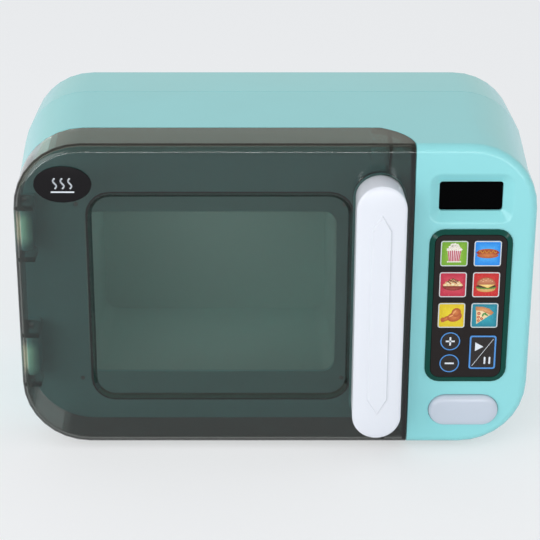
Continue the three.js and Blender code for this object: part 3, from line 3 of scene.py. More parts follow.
import bmesh
import bpy
import numpy as np
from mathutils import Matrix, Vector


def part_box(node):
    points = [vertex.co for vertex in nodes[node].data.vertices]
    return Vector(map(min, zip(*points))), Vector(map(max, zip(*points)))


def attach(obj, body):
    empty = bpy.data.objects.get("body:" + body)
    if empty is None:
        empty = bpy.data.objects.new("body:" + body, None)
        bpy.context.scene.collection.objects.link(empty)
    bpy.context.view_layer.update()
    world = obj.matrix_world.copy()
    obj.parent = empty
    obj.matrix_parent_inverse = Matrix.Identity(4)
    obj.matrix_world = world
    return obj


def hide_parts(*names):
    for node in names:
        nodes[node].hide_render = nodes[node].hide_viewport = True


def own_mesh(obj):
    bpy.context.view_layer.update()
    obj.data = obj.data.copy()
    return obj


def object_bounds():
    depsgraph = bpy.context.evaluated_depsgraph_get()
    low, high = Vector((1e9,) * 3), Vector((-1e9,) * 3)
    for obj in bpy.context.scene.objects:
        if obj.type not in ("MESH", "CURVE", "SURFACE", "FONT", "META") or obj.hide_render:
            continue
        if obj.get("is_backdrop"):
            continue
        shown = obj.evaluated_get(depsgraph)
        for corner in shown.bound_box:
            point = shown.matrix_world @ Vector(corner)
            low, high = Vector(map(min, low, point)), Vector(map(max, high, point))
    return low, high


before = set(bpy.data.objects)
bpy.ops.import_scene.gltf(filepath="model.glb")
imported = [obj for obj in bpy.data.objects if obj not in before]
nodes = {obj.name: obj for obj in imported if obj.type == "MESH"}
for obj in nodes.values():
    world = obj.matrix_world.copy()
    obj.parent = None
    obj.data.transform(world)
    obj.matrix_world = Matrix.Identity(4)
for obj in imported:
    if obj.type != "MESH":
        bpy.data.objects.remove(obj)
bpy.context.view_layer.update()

# Studio. The camera stands a little left of the toy's middle and looks straight back and down on
# it. A soft lamp stands at each side of its front, a thin one lights the top of the face, and a low
# one that only gloss meets draws a light line along its upper edge. Floor and sky are pale.
LENS_MM = 119.3
FRAME_SHIFT = 15 / 540
CAMERA_PLACE = (-0.0113, -0.997, 0.5035)
CAMERA_TILT = math.radians(67.35)
FLOOR_HALF = 9.0
FLOOR_PALE = (0.94, 0.945, 0.95, 1.0)
FLOOR_ROUGHNESS = 0.95
FLOOR_LIFT = 0.5
SKY_SEEN = (0.76, 0.77, 0.69, 1.0)
SKY_LIGHT = (0.93, 0.96, 1.0, 1.0)
SKY_STRENGTH = 0.7
LAMP_AIM = 0.09
# Each lamp's name, place, size and power, and the rays that don't meet it
LAMPS = [
    ("lamp_key", (-1.5, -1.6, 0.85), (1.8, 1.4), 20.0, ()),
    ("lamp_fill", (1.5, -1.6, 0.85), (1.8, 1.4), 4.0, ()),
    ("lamp_strip", (0.0, -1.7, 0.78), (2.4, 0.05), 3.5, ("glossy",)),
    ("lamp_line", (0.0, -1.7, 0.1), (2.4, 0.15), 11.0, ("camera", "diffuse", "transmission")),
]


def linked(name, data):
    """A new object in the scene, at the origin and unturned."""
    made = bpy.data.objects.new(name, data)
    bpy.context.scene.collection.objects.link(made)
    return made


camera_data = bpy.data.cameras.new("camera")
camera_data.lens = LENS_MM
camera_data.shift_x = FRAME_SHIFT
camera = linked("camera", camera_data)
camera.location = CAMERA_PLACE
camera.rotation_euler = (CAMERA_TILT, 0.0, 0.0)
bpy.context.scene.camera = camera
bpy.context.scene.view_settings.view_transform = "Standard"


def area_lamp(name, place, size, power, blind_rays):
    """A soft rectangular lamp that the blind kinds of ray don't meet."""
    lamp_data = bpy.data.lights.new(name, "AREA")
    lamp_data.shape = "RECTANGLE"
    lamp_data.size, lamp_data.size_y = size
    lamp_data.energy = power
    made = linked(name, lamp_data)
    made.location = place
    for kind in blind_rays:
        setattr(made, "visible_" + kind, False)
    return made


for row in LAMPS:
    lamp = area_lamp(*row)
    aim = -lamp.location
    aim.z += LAMP_AIM
    lamp.rotation_euler = aim.to_track_quat("-Z", "Y").to_euler()


def node_tree(owner):
    """Empties a material's or world's node tree and returns it."""
    owner.use_nodes = True
    owner.node_tree.nodes.clear()
    return owner.node_tree


def add_node(tree, kind, *wires, **settings):
    """A node. Each wire pairs one of its sockets with the output that feeds it. A setting is a
    property of the node or, with spaces written as underscores, the value of one of its sockets."""
    made = tree.nodes.new(kind)
    for key, value in settings.items():
        if hasattr(made, key):
            setattr(made, key, value)
        else:
            made.inputs[key.replace("_", " ")].default_value = value
    for socket, source in wires:
        tree.links.new(source, made.inputs[socket])
    return made


def seen_rays(tree):
    """1 for what the camera, gloss and clear plastic see, and 0 for light on other surfaces."""
    path = add_node(tree, "ShaderNodeLightPath").outputs
    seen = path["Is Camera Ray"]
    for other in ("Is Glossy Ray", "Is Transmission Ray"):
        wires = ((0, seen), (1, path[other]))
        seen = add_node(tree, "ShaderNodeMath", *wires, operation="MAXIMUM").outputs[0]
    return seen


def build_world():
    """The sky: one tone for what the camera, gloss and clear plastic see, another as a light."""
    world = bpy.data.worlds.new("studio")
    bpy.context.scene.world = world
    tree = node_tree(world)
    seen = add_node(tree, "ShaderNodeBackground", Color=SKY_SEEN, Strength=1.0)
    light = add_node(tree, "ShaderNodeBackground", Color=SKY_LIGHT, Strength=SKY_STRENGTH)
    wires = ((0, seen_rays(tree)), (1, light.outputs[0]), (2, seen.outputs[0]))
    mix = add_node(tree, "ShaderNodeMixShader", *wires)
    add_node(tree, "ShaderNodeOutputWorld", ("Surface", mix.outputs[0]))


build_world()


def mesh_of(name, points, faces):
    """A mesh from an array of points and a list of faces."""
    mesh = bpy.data.meshes.new(name)
    mesh.from_pydata(np.asarray(points).tolist(), [], faces)
    mesh.update()
    return mesh


def pale_floor():
    """A matt floor that holds shadows. The camera, gloss and clear plastic see it lifted by a glow
    of its own."""
    material = bpy.data.materials.new("pale floor")
    tree = node_tree(material)
    matt = {"Roughness": FLOOR_ROUGHNESS, "Specular_IOR_Level": 0.0}
    shader = add_node(tree, "ShaderNodeBsdfPrincipled", Base_Color=FLOOR_PALE, **matt)
    glow = add_node(tree, "ShaderNodeEmission", Color=FLOOR_PALE, Strength=1.0)
    share = add_node(tree, "ShaderNodeMath", (0, seen_rays(tree)), operation="MULTIPLY")
    share.inputs[1].default_value = FLOOR_LIFT
    wires = ((0, share.outputs[0]), (1, shader.outputs[0]), (2, glow.outputs[0]))
    mix = add_node(tree, "ShaderNodeMixShader", *wires)
    add_node(tree, "ShaderNodeOutputMaterial", ("Surface", mix.outputs[0]))
    return material


floor_corners = np.array([[-1, -1, 0], [1, -1, 0], [1, 1, 0], [-1, 1, 0]]) * FLOOR_HALF
floor = linked("floor", mesh_of("floor", floor_corners, [(0, 1, 2, 3)]))
floor.data.materials.append(pale_floor())
floor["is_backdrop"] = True

# Case: front housing, rear cover and battery cover. All are injection moulded in aqua plastic, with
# softened edges and a gloss that the mould leaves very slightly uneven.
AQUA = (0.272, 0.68, 0.70)
CASE_EDGE = 0.0003
EDGE_STEPS = 2
RIM_EDGE = 0.0008
RIM_STEPS = 4
RIM_REACH = 0.005
SHARP = math.radians(36)
FLAT = math.radians(0.4)
FLAT_WEIGHT = 90
MERGE_REACH = 2e-6
ROUGHNESS_SPREAD = 0.15


def object_place(tree):
    """The place of the point that is shaded, in the object's own coordinates."""
    return add_node(tree, "ShaderNodeTexCoord").outputs["Object"]


def moulded_plastic(name, colour, roughness, grain=0.05, cloud=0.03, scale=420.0, gloss=0.5):
    """Plastic coloured in the mass: faintly cloudy, by a share of its colour, with a roughness that
    varies a little and a fine mould texture."""
    material = bpy.data.materials.new(name)
    tree = node_tree(material)
    place = ("Vector", object_place(tree))
    clouds = add_node(tree, "ShaderNodeTexNoise", place, Scale=22.0, Detail=2.0).outputs[0]
    texture = add_node(tree, "ShaderNodeTexNoise", place, Scale=scale, Detail=1.0).outputs[0]
    tint = add_node(tree, "ShaderNodeMix", data_type="RGBA")
    tint.inputs["A"].default_value = (*[c * (1 - cloud) for c in colour], 1.0)
    tint.inputs["B"].default_value = (*[min(c * (1 + cloud), 1.0) for c in colour], 1.0)
    tree.links.new(clouds, tint.inputs["Factor"])
    spread = roughness * ROUGHNESS_SPREAD
    rough = {"To_Min": roughness - spread, "To_Max": roughness + spread}
    uneven = add_node(tree, "ShaderNodeMapRange", ("Value", clouds), **rough)
    bump = add_node(tree, "ShaderNodeBump", ("Height", texture), Strength=grain, Distance=0.0002)
    shader = add_node(
        tree,
        "ShaderNodeBsdfPrincipled",
        ("Base Color", tint.outputs["Result"]),
        ("Roughness", uneven.outputs[0]),
        ("Normal", bump.outputs[0]),
        IOR=1.5,
        Specular_IOR_Level=gloss,
    )
    add_node(tree, "ShaderNodeOutputMaterial", ("Surface", shader.outputs[0]))
    return material


def fastened(piece, body, slot, *replaced):
    """Rides a piece on its body, and hides the CAD nodes it stands for. The slot is not used."""
    if replaced:
        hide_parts(*replaced)
    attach(piece, body)
    return piece


def moulded_copy(node, body, material, slot, radius=CASE_EDGE, rim=None):
    """A copy of a CAD node whose loose triangles are merged at their corners and joined into whole
    faces where they are flat, with softened edges and smooth shading between flat faces. Edges
    inside the rim, a box given by its low and high corner, are rounded further."""
    form = bmesh.new()
    form.from_mesh(nodes[node].data)
    bmesh.ops.remove_doubles(form, verts=form.verts, dist=MERGE_REACH)
    bmesh.ops.dissolve_limit(
        form, angle_limit=FLAT, verts=form.verts, edges=form.edges, delimit=set()
    )
    for edge in form.edges:
        edge.smooth = len(edge.link_faces) != 2 or edge.calc_face_angle() < SHARP
    if rim:
        weight = form.edges.layers.float.new("bevel_weight_edge")
        for edge in form.edges:
            spots = [list(corner.co) for corner in edge.verts]
            edge[weight] = float(np.all(np.greater(spots, rim[0]) & np.less(spots, rim[1])))
    mesh = bpy.data.meshes.new(node + "_moulding")
    form.to_mesh(mesh)
    form.free()
    mesh.materials.clear()
    mesh.materials.append(material)
    mesh.polygons.foreach_set("use_smooth", [True] * len(mesh.polygons))
    piece = linked(node + "_moulding", mesh)
    if rim:
        mouth = piece.modifiers.new("mouth", "BEVEL")
        mouth.width = RIM_EDGE
        mouth.segments = RIM_STEPS
        mouth.limit_method = "WEIGHT"
    edges = piece.modifiers.new("edges", "BEVEL")
    edges.width = radius
    edges.segments = EDGE_STEPS
    edges.limit_method = "ANGLE"
    edges.angle_limit = SHARP
    edges.use_clamp_overlap = True
    normals = piece.modifiers.new("normals", "WEIGHTED_NORMAL")
    normals.keep_sharp = True
    normals.weight = FLAT_WEIGHT
    return fastened(piece, body, slot, node)


aqua = moulded_plastic("aqua plastic", AQUA, roughness=0.23, grain=0.02)
low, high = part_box("display_window")
panel_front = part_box("front_housing")[0].y
mouth_low = (low.x - RIM_REACH, panel_front - CASE_EDGE, low.z - RIM_REACH)
mouth_high = (high.x + RIM_REACH, panel_front + CASE_EDGE, high.z + RIM_REACH)
moulded_copy("front_housing", "case", aqua, "aqua_plastic", rim=(mouth_low, mouth_high))
moulded_copy("rear_cover", "case", aqua, "aqua_plastic")
moulded_copy("battery_cover", "case", aqua, "aqua_plastic")

# Cavity liner: the oven's inside, moulded in a paler aqua with a satin surface, and screwed by its
# flange behind the front housing's rim. The lamp over its ceiling glows faintly.
LINER_AQUA = (0.46, 0.75, 0.72)
GLOW_PLACE = (-0.037, 0.01, 0.134)
GLOW_SIZE = (0.1, 0.05)
GLOW_POWER = 0.04
liner_aqua = moulded_plastic("satin aqua plastic", LINER_AQUA, roughness=0.42, grain=0.08)
moulded_copy("cavity_liner", "case", liner_aqua, "liner_plastic")
area_lamp("oven_glow", GLOW_PLACE, GLOW_SIZE, GLOW_POWER, ("camera", "glossy", "transmission"))

# Door: one tray moulded in smoked clear plastic, with its recessed pane, the ears that turn on the
# hinge's pins, the handle's well and the ribs behind its face. Its tint is darkest at the step
# round the pane, which is painted shade, lighter over the hinge's lugs, which is painted light, and
# deepens wherever a wall or rib is seen edge-on.
PANE_MARGINS = {"left": 0.0421, "right": 0.03435, "bottom": 0.0298, "top": 0.0292}
PANE_CORNER = 0.0125
PANE_STEP = 0.0016
PANE_TINT = (0.22, 0.215, 0.2, 1.0)
# Painted shade: the tint on the step round the pane is near black
STEP_PAINTED_SHADE = (0.05, 0.06, 0.05, 1.0)
BORDER_TINT = (0.215, 0.218, 0.208, 1.0)
# Painted light: the door's tint is lighter over the hinge's lugs
LUG_PAINTED_LIGHT = (0.66, 0.6, 0.46, 1.0)
CLEAR_TINT = (1.0, 1.0, 1.0, 1.0)
TINT_SPAN = 0.02
TINT_BLUR = 0.015
FAR = 1.0
OUTER_WALL = 0.005
LUG_MIDDLE = (-0.1435, 0.0, 0.0985)
LUG_OFFSET = (0.0, 0.0, 0.04)
LUG_HALF = (0.0015, FAR, 0.0045)
LUG_BLUR = 0.007
SMOKE_BODY = (0.35, 0.42, 0.38, 1.0)
SMOKE_DENSITY = 150.0
SMOKE_SHADE = (0.96, 0.96, 0.96, 1.0)


def beyond_box(tree, middle, half, offset=(0.0, 0.0, 0.0)):
    """How far a point lies outside a box with the given middle and half sizes: the length of the
    vector by which its distances from the middle exceed the half sizes. With an offset there are
    two such boxes, one at each side of the middle."""
    steps = [
        ("SUBTRACT", middle),
        ("ABSOLUTE", None),
        ("SUBTRACT", offset),
        ("ABSOLUTE", None),
        ("SUBTRACT", half),
        ("MAXIMUM", (0.0, 0.0, 0.0)),
        ("LENGTH", None),
    ]
    flow = object_place(tree)
    for operation, operand in steps:
        step = add_node(tree, "ShaderNodeVectorMath", (0, flow), operation=operation)
        if operand is not None:
            step.inputs[1].default_value = operand
        flow = step.outputs["Value" if operation == "LENGTH" else "Vector"]
    return flow


def beyond_pane(tree):
    """How far a point lies beyond the middles of the pane's corner circles: the corner's radius on
    the pane's outline, less inside it and more outside."""
    low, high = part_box("door_shell")
    left, right = low.x + PANE_MARGINS["left"], high.x - PANE_MARGINS["right"]
    bottom, top = low.z + PANE_MARGINS["bottom"], high.z - PANE_MARGINS["top"]
    middle = ((left + right) / 2, 0.0, (bottom + top) / 2)
    half = ((right - left) / 2 - PANE_CORNER, FAR, (top - bottom) / 2 - PANE_CORNER)
    return beyond_box(tree, middle, half)


def share_of(tree, distance, span):
    """A distance as a share of a span, kept between 0 and 1."""
    share = add_node(tree, "ShaderNodeMath", (0, distance), operation="DIVIDE", use_clamp=True)
    share.inputs[1].default_value = span
    return share.outputs[0]


def outer_wall(tree):
    """1 on the door's face, top, bottom and left wall, and 0 on what stands inside them."""
    low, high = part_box("door_shell")
    middle = (low.x + OUTER_WALL + FAR, low.y + OUTER_WALL + FAR, (low.z + high.z) / 2)
    half = (FAR, FAR, (high.z - low.z) / 2 - OUTER_WALL)
    return share_of(tree, beyond_box(tree, middle, half), CASE_EDGE)


def beyond_lug_light(tree):
    """0 over the hinge's two lugs, where light is painted, rising to 1 over the blur round them."""
    distance = beyond_box(tree, LUG_MIDDLE, LUG_HALF, LUG_OFFSET)
    return share_of(tree, distance, LUG_BLUR)


def blended(tree, share, first, second):
    """The first colour or output where the share is 0, and the second where it is 1."""
    made = add_node(tree, "ShaderNodeMix", ("Factor", share), data_type="RGBA")
    for socket, source in (("A", first), ("B", second)):
        if isinstance(source, tuple):
            made.inputs[socket].default_value = source
        else:
            tree.links.new(source, made.inputs[socket])
    return made.outputs["Result"]


def lit_through(tree, shader, shade):
    """A shader's surface that lets the light of the lamps pass, in a shade."""
    shadow = add_node(tree, "ShaderNodeLightPath").outputs["Is Shadow Ray"]
    passing = add_node(tree, "ShaderNodeBsdfTransparent", Color=shade)
    wires = ((0, shadow), (1, shader.outputs[0]), (2, passing.outputs[0]))
    return add_node(tree, "ShaderNodeMixShader", *wires).outputs[0]


def smoked_plastic():
    """Clear plastic that darkens with its thickness. Its outer walls are tinted by the distance
    from the pane, with painted shade on the step round the pane and painted light where they lie
    on the lugs of the hinge."""
    material = bpy.data.materials.new("smoked plastic")
    tree = node_tree(material)
    far = share_of(tree, beyond_pane(tree), TINT_SPAN)
    zones = add_node(tree, "ShaderNodeValToRGB", ("Fac", far))
    inner, outer = (PANE_CORNER - PANE_STEP) / TINT_SPAN, PANE_CORNER / TINT_SPAN
    # The step's band is painted shade
    stops = [
        (inner - TINT_BLUR, PANE_TINT),
        (inner, STEP_PAINTED_SHADE),
        (outer, STEP_PAINTED_SHADE),
        (outer + TINT_BLUR, BORDER_TINT),
    ]
    bands = zones.color_ramp.elements
    while len(bands) < len(stops):
        bands.new(1.0)
    for band, (position, tint) in zip(bands, stops):
        band.position = position
        band.color = tint
    # Painted light over the lugs
    outside = blended(tree, beyond_lug_light(tree), LUG_PAINTED_LIGHT, zones.outputs[0])
    tint = blended(tree, outer_wall(tree), CLEAR_TINT, outside)
    place = ("Vector", object_place(tree))
    clouds = add_node(tree, "ShaderNodeTexNoise", place, Scale=30.0, Detail=2.0).outputs[0]
    uneven = add_node(tree, "ShaderNodeMapRange", ("Value", clouds), To_Min=0.015, To_Max=0.04)
    shader = add_node(
        tree,
        "ShaderNodeBsdfPrincipled",
        ("Base Color", tint),
        ("Roughness", uneven.outputs[0]),
        IOR=1.49,
        Transmission_Weight=1.0,
    )
    surface = lit_through(tree, shader, SMOKE_SHADE)
    body = add_node(tree, "ShaderNodeVolumeAbsorption", Color=SMOKE_BODY, Density=SMOKE_DENSITY)
    wires = (("Surface", surface), ("Volume", body.outputs[0]))
    add_node(tree, "ShaderNodeOutputMaterial", *wires)
    return material


moulded_copy("door_shell", "door", smoked_plastic(), "smoked_plastic")

# Handle: a hollow bar moulded in glossy white, wider at its front, which is gently crowned, with a
# long raised hexagon on it. Two screws hold it in the door's well from behind.
WHITE = (0.76, 0.78, 0.83)
WHITE_GLOSS = 0.25
HANDLE_FLARE = 0.00045
HANDLE_EDGE = 0.0009
HANDLE_CROWN = 0.0013
HANDLE_WALL = 0.0026
HANDLE_SHARP = math.radians(50)
CROWN_RINGS = 14
CROWN_START = 0.02
EDGE_RINGS = 5
EDGE_START = 0.3
FACET_RISE = 0.0007
FACET_HALF = 0.0057
FACET_TIP = 0.0157
FACET_SHOULDER = 0.0098
FACET_BEVEL = 0.0007
FACET_SUNK = 0.002
FACET_SHARP = math.radians(20)
RING_POINTS = 96
WELD_REACH = 1e-7


def rounded_ring(low_x, high_x, low_z, high_z, radius, y, count=RING_POINTS):
    """Points round a rectangle with round corners: four quarter circles of the radius, joined by
    straight sides, each quarter with a quarter of the points."""
    quarter = np.linspace(0.0, math.pi / 2, count // 4)
    angle = np.concatenate([quarter + k * math.pi / 2 for k in range(4)])
    right = np.repeat([high_x, low_x, low_x, high_x], count // 4)
    top = np.repeat([high_z, high_z, low_z, low_z], count // 4)
    inward_x = np.repeat([-1, 1, 1, -1], count // 4) * radius
    inward_z = np.repeat([-1, -1, 1, 1], count // 4) * radius
    x = right + inward_x + radius * np.cos(angle)
    z = top + inward_z + radius * np.sin(angle)
    return np.stack([x, np.full_like(x, y), z], axis=1)


def skin(name, rings):
    """A closed skin over rings of points that run from the front to the back: each is joined to the
    next by quads, and the first and last are shut by a fan to the mean of their points."""
    count = len(rings[0])
    points = np.concatenate([*rings, rings[0].mean(0)[None], rings[-1].mean(0)[None]])
    here = np.arange(count)
    after = (here + 1) % count
    faces = []
    for k in range(len(rings) - 1):
        a, b = k * count, (k + 1) * count
        faces += np.stack([a + here, a + after, b + after, b + here], axis=1).tolist()
    first, last = len(rings) * count, len(rings) * count + 1
    end = (len(rings) - 1) * count
    faces += np.stack([np.full(count, first), after, here], axis=1).tolist()
    faces += np.stack([np.full(count, last), end + here, end + after], axis=1).tolist()
    form = bmesh.new()
    form.from_mesh(mesh_of(name, points, faces))
    bmesh.ops.remove_doubles(form, verts=form.verts, dist=WELD_REACH)
    bmesh.ops.recalc_face_normals(form, faces=form.faces)
    mesh = bpy.data.meshes.new(name)
    form.to_mesh(mesh)
    form.free()
    return mesh


def shaded(name, mesh, material, sharp=SHARP):
    """An object with smooth shading, broken where faces meet at more than the sharp angle."""
    mesh.materials.append(material)
    mesh.polygons.foreach_set("use_smooth", [True] * len(mesh.polygons))
    mesh.set_sharp_from_angle(angle=sharp)
    return linked(name, mesh)


def handle_bar():
    """Rings from the crown's ridge out to the front's edge, round it, back along the sides and into
    the hollow. The crown falls with the square of the distance from the ridge."""
    low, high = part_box("door_handle")
    front, back = low.y + FACET_RISE, high.y
    half = (high.x - low.x) / 2

    def ring(inset, y):
        """The bar's outline at depth y, drawn in evenly by the inset."""
        sides = (low.x + inset, high.x - inset, low.z + inset, high.z - inset)
        return rounded_ring(*sides, half - inset, y)

    across = np.linspace(CROWN_START, 1.0, CROWN_RINGS) * (half - HANDLE_EDGE)
    crown = [ring(half - a, front + HANDLE_CROWN * (a / half) ** 2) for a in across]
    rim = front + HANDLE_CROWN
    turn = np.linspace(EDGE_START, math.pi / 2, EDGE_RINGS)
    edge = [
        ring(HANDLE_EDGE * (1 - math.sin(a)), rim + HANDLE_EDGE * (1 - math.cos(a))) for a in turn
    ]
    wall = HANDLE_FLARE + HANDLE_WALL
    behind = [ring(HANDLE_FLARE, back), ring(wall, back), ring(HANDLE_WALL, rim + HANDLE_WALL)]
    return skin("handle_bar", [*crown, *edge, *behind])


def handle_facet():
    """The raised hexagon: a face inset by the bevel, its outline, and a root sunk into the bar."""
    low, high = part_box("door_handle")
    middle = (low.x + high.x) / 2

    def hexagon(inset, y):
        """A tip below and above and two shoulders at each side, at depth y. The inset draws in the
        tips and the sides."""
        half = FACET_HALF - inset
        tips = (low.z + FACET_TIP + inset, high.z - FACET_TIP - inset)
        shoulders = (low.z + FACET_TIP + FACET_SHOULDER, high.z - FACET_TIP - FACET_SHOULDER)
        x = middle + half * np.array([0, 1, 1, 0, -1, -1])
        z = np.array([tips[0], shoulders[0], shoulders[1], tips[1], shoulders[1], shoulders[0]])
        return np.stack([x, np.full_like(x, y), z], axis=1)

    front = low.y
    bevelled = [hexagon(FACET_BEVEL, front), hexagon(0.0, front + FACET_BEVEL)]
    return skin("handle_facet", [*bevelled, hexagon(0.0, front + FACET_RISE + FACET_SUNK)])


even = {"grain": 0.02, "cloud": 0.01}
white = moulded_plastic("glossy white plastic", WHITE, roughness=0.22, gloss=WHITE_GLOSS, **even)
handle_piece = shaded("handle_bar", handle_bar(), white, HANDLE_SHARP)
fastened(handle_piece, "door", "white_plastic", "door_handle")
facet_piece = shaded("handle_facet", handle_facet(), white, FACET_SHARP)
fastened(facet_piece, "door", "white_plastic")

# Badge: an oval moulded in glossy black plastic and stuck on the door's upper left corner. Its face
# is crowned, and falls by 0.6 mm to its edge.
BADGE_BLACK = (0.012, 0.011, 0.012)
BADGE_CROWN = 0.0006
BADGE_RINGS = 12
BADGE_START = 0.05


def badge_oval():
    """Ellipses from the middle out: the face falls with the square of the distance, then a side."""
    low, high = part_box("badge")
    angle = np.linspace(0.0, 2 * math.pi, RING_POINTS, endpoint=False)
    half_x, half_z = (high.x - low.x) / 2, (high.z - low.z) / 2
    middle_x, middle_z = (low.x + high.x) / 2, (low.z + high.z) / 2

    def ring(share, y):
        """The badge's outline at depth y, shrunk to a share of its size."""
        x = middle_x + half_x * share * np.cos(angle)
        z = middle_z + half_z * share * np.sin(angle)
        return np.stack([x, np.full_like(x, y), z], axis=1)

    shares = np.linspace(BADGE_START, 1.0, BADGE_RINGS)
    crown = [ring(share, low.y + BADGE_CROWN * share * share) for share in shares]
    return skin("badge_oval", [*crown, ring(1.0, high.y)])


badge_black = moulded_plastic("badge black", BADGE_BLACK, roughness=0.12, grain=0.0, gloss=0.08)
badge_piece = shaded("badge_oval", badge_oval(), badge_black)
fastened(badge_piece, "door", "gloss_black", "badge")

# Release button: a white pill with a crowned face, its white painted darker and bluer as painted
# shade. A lip behind the panel holds it in, and a sloped plunger runs back from it to lift the
# latch.
# Painted shade: the button's white is darker and bluer than the handle's
BUTTON_SHADED_WHITE = (0.55, 0.6, 0.68)
BUTTON_LIP = 0.0011
BUTTON_CROWN = 0.0026
BUTTON_FALL = 1.6
BUTTON_RINGS = 18
BUTTON_START = 0.03
BUTTON_DEPTH = 0.0058
LIP_WALL = 0.0015
PLUNGER_HALF = 0.006
PLUNGER_SHIFT = 0.009
PLUNGER_DROP = 0.0075
PLUNGER_HEIGHT = 0.008
PLUNGER_SLOPE = 0.006


def button_cap():
    """Rings of a pill at angles t, from the ridge to the side: the inset is the radius times one
    less sin t, and the depth is the crown times the power, by the fall, of one less cos t. Then the
    lip steps out behind the panel."""
    low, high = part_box("release_button")
    radius = (high.z - low.z) / 2 - BUTTON_LIP

    def ring(inset, y):
        """The pill's outline at depth y, drawn in evenly by the inset."""
        edge = BUTTON_LIP + inset
        sides = (low.x + edge, high.x - edge, low.z + edge, high.z - edge)
        return rounded_ring(*sides, radius - inset, y)

    turn = np.linspace(BUTTON_START, math.pi / 2, BUTTON_RINGS)
    inset = radius * (1 - np.sin(turn))
    depth = BUTTON_CROWN * (1 - np.cos(turn)) ** BUTTON_FALL
    crown = [ring(i, low.y + d) for i, d in zip(inset, depth)]
    behind = low.y + BUTTON_DEPTH
    lip = [ring(0.0, behind), ring(-BUTTON_LIP, behind), ring(-BUTTON_LIP, behind + LIP_WALL)]
    return skin("release_button_cap", [*crown, *lip])


def plunger():
    """Four corners at the cap, where the slope starts and at the tip, whose top is lower."""
    low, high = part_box("release_button")
    middle = (low.x + high.x) / 2 - PLUNGER_SHIFT
    bottom = (low.z + high.z) / 2 - PLUNGER_DROP

    def section(y, height):
        """The plunger's rectangle at depth y, with its foot at the bottom."""
        x = middle + PLUNGER_HALF * np.array([-1, 1, 1, -1])
        z = bottom + height * np.array([0, 0, 1, 1])
        return np.stack([x, np.full_like(x, y), z], axis=1)

    start, slope = low.y + BUTTON_DEPTH, high.y - PLUNGER_SLOPE
    straight = [section(start, PLUNGER_HEIGHT), section(slope, PLUNGER_HEIGHT)]
    return skin("plunger", [*straight, section(high.y, PLUNGER_HEIGHT - PLUNGER_SLOPE)])


button_shaded_white = moulded_plastic("button white plastic with painted shade", BUTTON_SHADED_WHITE, roughness=0.2, **even)
button_piece = shaded("release_button_cap", button_cap(), button_shaded_white)
fastened(button_piece, "release_button", "white_plastic", "release_button")
plunger_piece = shaded("release_button_plunger", plunger(), button_shaded_white)
fastened(plunger_piece, "release_button", "white_plastic")

# Display: a flat window moulded in glossy black plastic at the bottom of the panel's funnel, with
# the display's module behind it, in fine grained black plastic.
GLASS_BLACK = (0.0008, 0.0008, 0.001)
DARK = (0.02, 0.02, 0.022)


def carried(material, *names):
    """Gives CAD nodes that keep their own shape a better material."""
    for name in names:
        nodes[name].material_slots[0].material = material


glass_black = moulded_plastic(
    "display window", GLASS_BLACK, roughness=0.1, grain=0.0, gloss=0.02
)
dark = moulded_plastic("fine grained black plastic", DARK, roughness=0.5, grain=0.25)
carried(glass_black, "display_window")
carried(dark, "display_module")

# Keypad: a bezel moulded in glossy dark green plastic, set into the panel round a satin black
# sheet, with nine holes that the keys come through from behind.
BEZEL_GREEN = (0.004, 0.062, 0.046)
SHEET_BLACK = (0.012, 0.008, 0.0075)
bezel_green = moulded_plastic(
    "dark green plastic", BEZEL_GREEN, roughness=0.12, grain=0.0, gloss=0.12
)
sheet_black = moulded_plastic(
    "black key sheet", SHEET_BLACK, roughness=0.22, grain=0.02, gloss=0.22
)
moulded_copy("keypad_bezel", "case", bezel_green, "bezel_green")
carried(sheet_black, "keypad_overlay")

# Keys: caps moulded in the colour of their picture's ground, and printed in thin layers of ink: a
# pale border, the ground, lighter towards its middle, and a simple picture of a food.
KEY_LIP = 0.0007
KEY_CORNER = 1.4
GROUND_INSET = 0.6
GROUND_CORNER = 0.8
PICTURE_HALF = 7.6
INK_STEP = 0.00004
PALE = (0.62, 0.66, 0.66)
BLUE = (0.08, 0.28, 0.66)
NIGHT = (0.012, 0.008, 0.0075)
WHITE_INK = (0.74, 0.78, 0.83)


def printed_ink():
    """Printed ink: its colour is carried by the mesh, under a smooth film with slight haze."""
    material = bpy.data.materials.new("printed ink")
    tree = node_tree(material)
    place = ("Vector", object_place(tree))
    haze = add_node(tree, "ShaderNodeTexNoise", place, Scale=900.0, Detail=2.0).outputs[0]
    colour = add_node(tree, "ShaderNodeAttribute", attribute_name="ink").outputs["Color"]
    uneven = add_node(tree, "ShaderNodeMapRange", ("Value", haze), To_Min=0.2, To_Max=0.32)
    bump = add_node(tree, "ShaderNodeBump", ("Height", haze), Strength=0.02, Distance=0.0001)
    shader = add_node(
        tree,
        "ShaderNodeBsdfPrincipled",
        ("Base Color", colour),
        ("Roughness", uneven.outputs[0]),
        ("Normal", bump.outputs[0]),
        Specular_IOR_Level=0.4,
    )
    add_node(tree, "ShaderNodeOutputMaterial", ("Surface", shader.outputs[0]))
    return material


ink = printed_ink()


